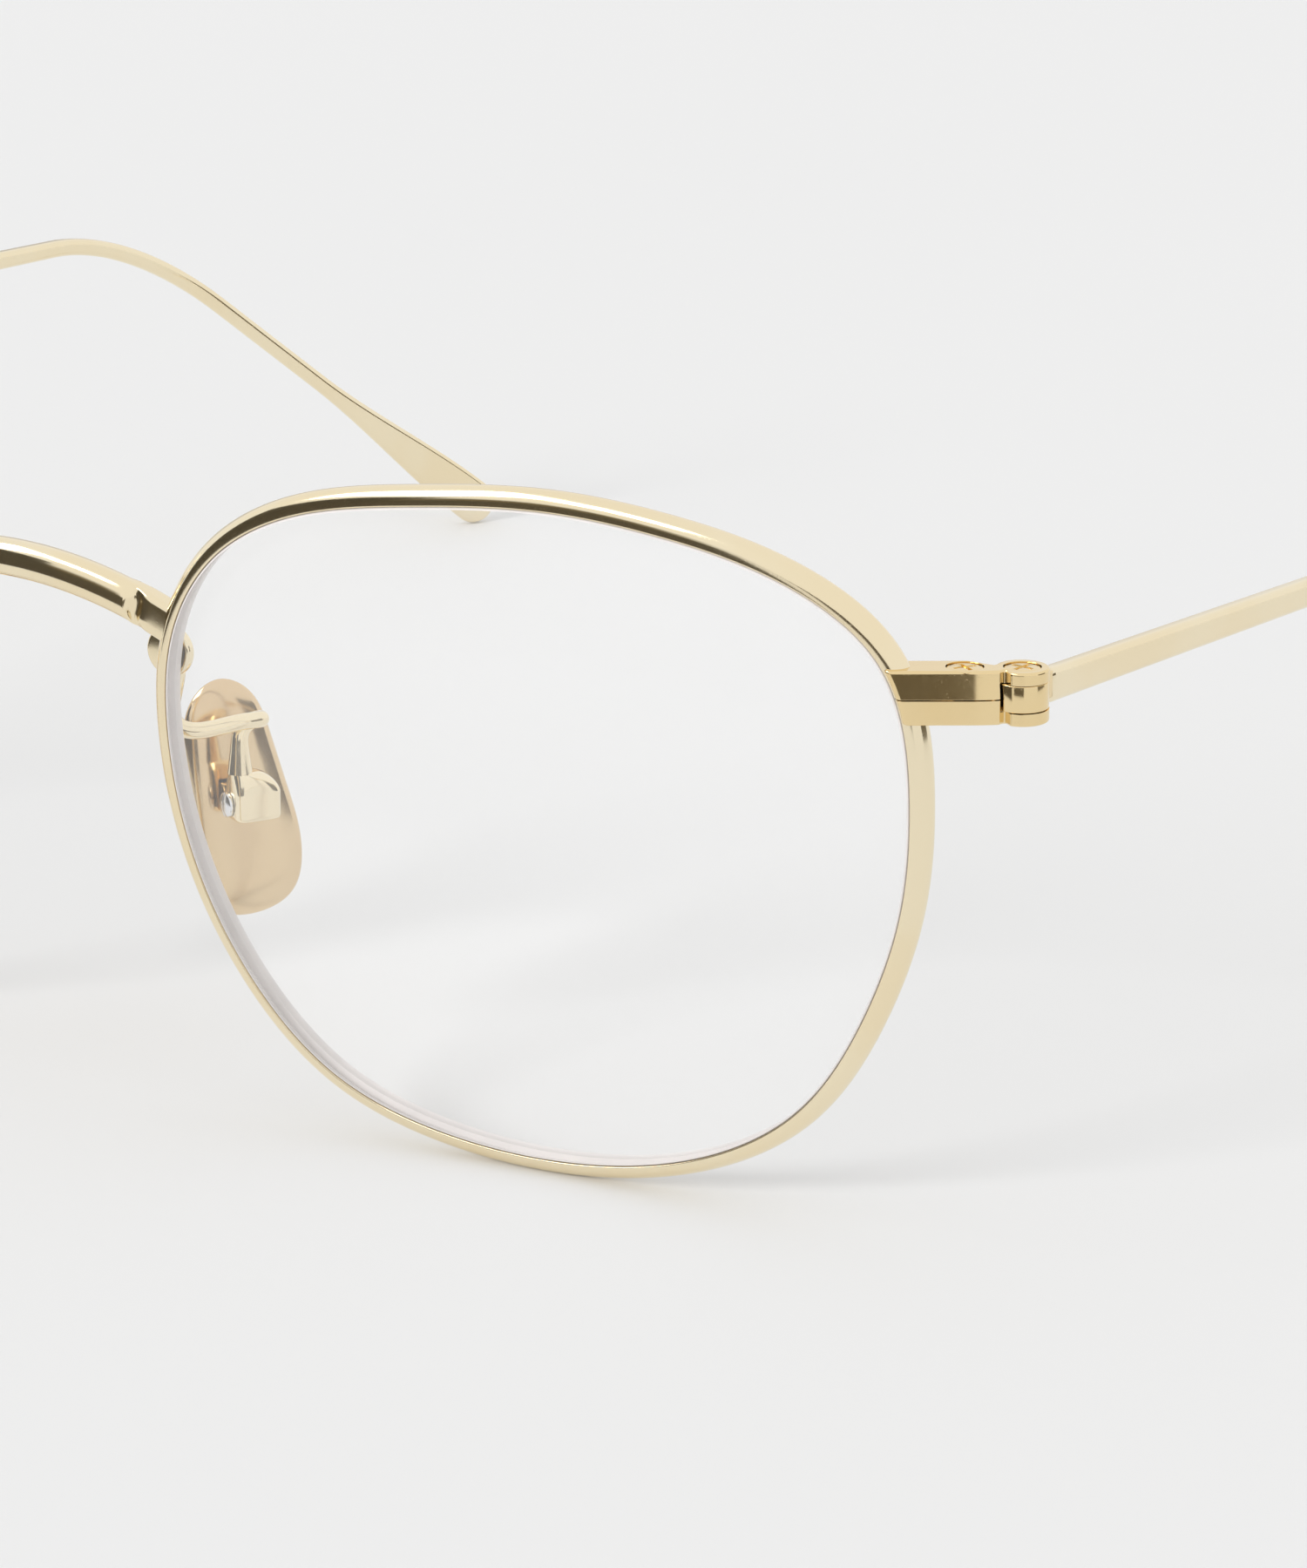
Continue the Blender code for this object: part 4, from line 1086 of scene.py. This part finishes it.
class EYEGLASSES_OT_pad_boxes(bpy.types.Operator):
    """Add the pad boxes and their screws"""

    bl_idname = "eyeglasses.pad_boxes"
    bl_label = "Pad Boxes"

    def execute(self, context):
        layout = Layout(context.scene)
        pad = layout.pad
        gold, _, nickel, _ = metals(context.scene)
        out = pad.box_width / 2
        inside = out - pad.box_wall
        floor = -pad.tab_radius - 0.07 * MM
        back = floor - pad.box_wall
        low, high = -pad.box_drop, pad.box_height - pad.box_drop
        stem = layout.box_place.inverted() @ (layout.pivot + Vector(ARM_TO_BOX[-1]) * MM)
        shoulder, neck = 0.75 * MM, 0.6 * MM
        sines, cosines = np.sin(around(56)), np.cos(around(56))
        rings = []
        edge = 0.3 * MM
        steps = [low + edge * (1 - math.cos(t)) for t in np.linspace(0, math.pi / 2, 8)]
        steps += list(np.linspace(low + 0.35 * MM, shoulder, 6)) + list(np.linspace(shoulder, high, 22))[1:]
        for z in steps:
            drawn = edge - math.sqrt(max(0.0, edge**2 - max(0.0, low + edge - z) ** 2))
            blend = max(0.0, (z - shoulder) / (high - shoulder))
            narrow = 1 - math.sqrt(max(0.0, 1 - blend**1.5))
            power = 5.0 - 3.0 * blend
            half_x = (out - drawn) * (1 - narrow) + neck * narrow
            half_y = ((pad.box_reach - back) / 2 - drawn) * (1 - narrow) + neck * narrow
            middle = np.array([stem.x * narrow, (back + pad.box_reach) / 2 * (1 - narrow) + stem.y * narrow])
            x = middle[0] + half_x * squared(cosines, power)
            y = middle[1] + half_y * squared(sines, power)
            rings.append(np.column_stack([x, y, np.full(len(x), z)]))
        roof = pad.tab_radius + 0.1 * MM
        tall = roof - low + 1.0 * MM
        channel = slab((2 * inside, 3 * MM, tall), (0, floor + 1.5 * MM, roof - tall / 2))
        body = carved("box", lofted(rings), (channel,), 0.04 * MM, 2, 60.0)
        add_pair("pad_box", body, layout.box_place, FRONT, [gold], 40.0)
        face = out + 0.03 * MM
        head, shank, tall = pad.screw_head, pad.screw_radius, pad.screw_head_height
        profile = [(head * s, -face - tall * (1 - 0.45 * s**3)) for s in (0.15, 0.4, 0.65, 0.85, 0.97)]
        profile += [(head, -face - tall * 0.35), (head, -face), (shank, -face), (shank, face + tall * 0.35)]
        profile += [(shank * 0.85, face + tall * 0.5), (shank * 0.4, face + tall * 0.58)]
        slot = slab((2 * head, 0.2 * MM, 0.36 * MM), (0, 0, -face - tall))
        screw = carved("pad_screw", turned(profile, 48), (slot,), 0.025 * MM, 2)
        place = layout.box_place @ Matrix.Rotation(math.radians(90), 4, "Y")
        add_pair("pad_screw", screw, place, FRONT, [nickel], 40.0)
        return {"FINISHED"}


class EYEGLASSES_OT_pad_arms(bpy.types.Operator):
    """Add the bent arms and the discs that join them to the rims"""

    bl_idname = "eyeglasses.pad_arms"
    bl_label = "Pad Arms"

    def execute(self, context):
        layout = Layout(context.scene)
        pad, front = layout.pad, layout.front
        gold = metals(context.scene)[0]
        place = layout.rim_place_at(layout.centre.z + pad.foot_rise, outer=False)
        lens_back = front.lens_thickness * (1 - front.lens_front)
        behind = max(front.wire_depth / 2, lens_back) + pad.foot_thickness / 2 + 0.12 * MM
        foot = Vector(layout.world_rim(place)) + Vector((-pad.foot_place, behind, 0.0))
        half = pad.foot_thickness / 2
        edge = 0.22 * MM
        inset = pad.foot_radius - edge
        turns = np.linspace(0, math.pi / 2, 7)
        profile = [(inset + edge * math.sin(t), edge - half - edge * math.cos(t)) for t in turns]
        profile += [(r, -h) for r, h in reversed(profile)]
        flat = Matrix.Translation(foot) @ Matrix.Rotation(math.radians(90), 4, "X")
        add_pair("pad_arm_foot", turned(profile), flat, FRONT, [gold], 60.0)
        behind = Vector((0.0, half + pad.wire / 2 + 0.04 * MM, 0.0))
        first = Vector((0.0, ARM_FROM_FOOT[0][1], 0.0))
        route = [foot + behind + (Vector(step) - first) * MM for step in ARM_FROM_FOOT]
        route += [layout.pivot + Vector(step) * MM for step in ARM_TO_BOX]
        route[-1].z = layout.pivot.z + pad.box_height - pad.box_drop - 0.1 * MM
        points = open_spline(route, 260)
        along = unit(np.gradient(points, axis=0))
        side = np.cross(along, (0.0, 0.0, 1.0))
        upright = np.linalg.norm(side, axis=1) < 0.2
        side[upright] = np.cross(along[upright], (0.0, 1.0, 0.0))
        rings = []
        across = unit(side[0])
        to_end = np.linalg.norm(points - points[-1], axis=1)
        flares = 1 + 0.5 * np.clip(1 - to_end / (2.2 * MM), 0, 1) ** 1.3
        sines, cosines = np.sin(around(28)), np.cos(around(28))
        for point, direction, flare in zip(points, along, flares):
            across = unit(across - direction * np.dot(across, direction))
            other = np.cross(direction, across)
            circle = np.outer(cosines, across) + np.outer(sines, other)
            rings.append(point + pad.wire / 2 * flare * circle)
        add_pair("pad_arm", lofted(rings), HERE, FRONT, [gold], 60.0)
        return {"FINISHED"}


# Each dark card: name, share of the shade, middle, radius, first and last angle, height.
CARDS = (
    ("front_card", 1.0, (0.03, -0.06), 0.17, -85.0, -45.0, 0.035),
    ("left_card", 0.6, (0.0, -0.064), 0.1, -165.0, -112.0, 0.095),
    ("middle_card", 0.8, (0.0, -0.064), 0.1, -112.0, -68.0, 0.05),
    ("side_card", 1.0, (0.0, -0.05), 0.3, 3.0, 35.0, 0.1),
)
# Each mirrored window: name, angle round the bridge, angle above it, side and power.
WINDOWS = (("front_window", -149.0, 50.0, 0.34, 1.8), ("side_window", -108.0, 56.0, 0.2, 0.55))
BRIDGE_PLACE = (0.0, -0.064, 0.03)
WINDOW_DISTANCE = 0.7
SUN_PLACE = (-0.6, -2.0, 1.0)
CAMERA_PLACE = (214.22, -348.22, 125.52)
CAMERA_AIM = (40.89, -58.89, 23.84)


class EYEGLASSES_OT_stage(bpy.types.Operator):
    """Add the floor, the studio light and the camera"""

    bl_idname = "eyeglasses.stage"
    bl_label = "Stage"

    def floor(self, stage):
        """A plain floor just under the lowest piece."""
        half = 3.0
        corners = [(-half, -half, 0), (half, -half, 0), (half, half, 0), (-half, half, 0)]
        mesh = raw_mesh("floor", corners, [[0, 1, 2, 3]])
        surface = bpy.data.materials.new("plain_floor")
        graph = Graph(surface)
        cloud = graph.noise(graph.where(), 6.0, 2.0)
        darker = [0.985 * c for c in stage.floor]
        shader = {"Base Color": graph.mix(cloud, rgba(stage.floor), rgba(darker)), "Roughness": 0.75}
        graph.principled(shader)
        mesh.materials.append(surface)
        ground = placed("floor", mesh)
        ground.location.z = CAD_BOX[0].z - 0.02 * MM

    def sky(self, scene, stage):
        """Even light all round, but for a dark stretch in front that the metal reflects."""
        world = bpy.data.worlds.new("studio")
        scene.world = world
        graph = Graph(world)
        where = graph.node("ShaderNodeTexCoord", None, None, "Generated")
        parts = graph.node("ShaderNodeSeparateXYZ", None, {0: where}).socket.node.outputs
        beside, forward, height = (Signal(graph, part) for part in parts)
        in_front = graph.ramp(forward * -1.0, 0.25, 0.5) * graph.ramp(beside * -1.0, 0.0, 0.25)
        low = 1 - graph.ramp(height, 0.22, 0.42)
        mirrored = graph.node("ShaderNodeLightPath", None, None, "Is Glossy Ray")
        spread = graph.node("ShaderNodeLightPath", None, None, "Is Diffuse Ray")
        behind = graph.ramp(forward, 0.3, 0.6) * graph.ramp(beside * -1.0, 0.3, 0.6)
        behind = behind * (1 - graph.ramp(height, 0.1, 0.3)) * 0.45
        dark = (in_front * low + behind) * mirrored
        tints = (rgba((1.0, 1.0, 1.0)), warm(stage.shade))
        strength = stage.mirror_sky - spread * (stage.mirror_sky - stage.sky)
        sockets = {"Color": graph.mix(dark, *tints), "Strength": strength}
        background = graph.node("ShaderNodeBackground", None, sockets)
        graph.node("ShaderNodeOutputWorld", None, {"Surface": background})

    def card(self, shade, name, middle, radius, low_turn, high_turn, height):
        """A dark curved card that stands on the floor and shows only in reflections."""
        points, faces = [], []
        turns = np.radians(np.linspace(low_turn, high_turn, 25))
        for i, turn in enumerate(turns):
            x, y = middle[0] + radius * math.cos(turn), middle[1] + radius * math.sin(turn)
            points += [(x, y, 0.0), (x, y, height)]
            if i:
                faces.append([2 * i - 2, 2 * i, 2 * i + 1, 2 * i - 1])
        mesh = raw_mesh(name, points, faces)
        surface = bpy.data.materials.new(name)
        graph = Graph(surface)
        cloud = graph.noise(graph.where(), 25.0, 3.0)
        shader = {"Base Color": graph.mix(cloud, warm(shade), warm(shade / 2)), "Roughness": 0.9}
        graph.principled(shader)
        mesh.materials.append(surface)
        card = placed(name, mesh)
        card.visible_camera = False
        card.visible_diffuse = False
        card.visible_shadow = False
        card.visible_transmission = False

    def light(self, name, kind, place, target, energy, **settings):
        """A lamp that points at the target."""
        lamp = bpy.data.lights.new(name, kind)
        lamp.energy = energy
        for key, value in settings.items():
            setattr(lamp, key, value)
        made = placed(name, lamp)
        made.location = place
        made.rotation_euler = (Vector(target) - Vector(place)).to_track_quat("-Z", "Y").to_euler()
        return made

    def execute(self, context):
        scene = context.scene
        stage = scene.eyeglasses_stage
        self.floor(stage)
        self.sky(scene, stage)
        middle = (CAD_BOX[0] + CAD_BOX[1]) / 2
        for name, share, *sizes in CARDS:
            self.card(stage.shade * share, name, *sizes)
        sun = self.light("soft_sun", "SUN", SUN_PLACE, middle, stage.sun, angle=math.radians(20.0))
        sun.visible_glossy = False
        bridge = Vector(BRIDGE_PLACE)
        for name, turn, rise, size, power in WINDOWS:
            turn, rise = math.radians(turn), math.radians(rise)
            flat = math.cos(rise)
            ray = Vector((flat * math.cos(turn), flat * math.sin(turn), math.sin(rise)))
            place = bridge + WINDOW_DISTANCE * ray
            window = self.light(name, "AREA", place, bridge, power, shape="SQUARE", size=size)
            window.visible_diffuse = False
            window.visible_camera = False
            window.visible_transmission = False
        camera = placed("camera", bpy.data.cameras.new("camera"))
        camera.data.sensor_width = 36.0
        camera.data.lens = stage.focal
        camera.data.clip_start = 0.01
        camera.data.clip_end = 20.0
        camera.location = Vector(CAMERA_PLACE) * MM
        aim = Vector(CAMERA_AIM) * MM - camera.location
        camera.rotation_euler = aim.to_track_quat("-Z", "Y").to_euler()
        scene.camera = camera
        scene.view_settings.view_transform = "Standard"
        return {"FINISHED"}


class EYEGLASSES_PT_panel(bpy.types.Panel):
    """Lists the pieces"""

    bl_idname = "EYEGLASSES_PT_panel"
    bl_label = "Eyeglasses"
    bl_space_type = "VIEW_3D"
    bl_region_type = "UI"
    bl_category = "Eyeglasses"

    def draw(self, context):
        for piece in PIECES:
            self.layout.operator(piece.bl_idname)
        for group in GROUPS:
            box = self.layout.box()
            box.label(text=group.replace("_", " ").capitalize())
            settings = getattr(context.scene, f"eyeglasses_{group}")
            for name in settings.__annotations__:
                box.prop(settings, name)


PIECES = (
    EYEGLASSES_OT_rims, EYEGLASSES_OT_lenses, EYEGLASSES_OT_bridge, EYEGLASSES_OT_blocks,
    EYEGLASSES_OT_screws, EYEGLASSES_OT_temples, EYEGLASSES_OT_pads, EYEGLASSES_OT_pad_boxes,
    EYEGLASSES_OT_pad_arms, EYEGLASSES_OT_stage,
)
GROUPS = {
    "front": EYEGLASSES_PG_front, "hinge": EYEGLASSES_PG_hinge, "temple": EYEGLASSES_PG_temple,
    "pad": EYEGLASSES_PG_pad, "finish": EYEGLASSES_PG_finish, "stage": EYEGLASSES_PG_stage,
}


def register():
    for group, made in GROUPS.items():
        bpy.utils.register_class(made)
        setattr(bpy.types.Scene, f"eyeglasses_{group}", bpy.props.PointerProperty(type=made))
    for made in (*PIECES, EYEGLASSES_PT_panel):
        bpy.utils.register_class(made)


def unregister():
    for made in (EYEGLASSES_PT_panel, *reversed(PIECES)):
        bpy.utils.unregister_class(made)
    for group, made in reversed(GROUPS.items()):
        delattr(bpy.types.Scene, f"eyeglasses_{group}")
        bpy.utils.unregister_class(made)


def main():
    register()
    bpy.ops.eyeglasses.rims()
    bpy.ops.eyeglasses.lenses()
    bpy.ops.eyeglasses.bridge()
    bpy.ops.eyeglasses.blocks()
    bpy.ops.eyeglasses.screws()
    bpy.ops.eyeglasses.temples()
    bpy.ops.eyeglasses.pads()
    bpy.ops.eyeglasses.pad_boxes()
    bpy.ops.eyeglasses.pad_arms()
    bpy.ops.eyeglasses.stage()


if __name__ == "__main__":
    main()
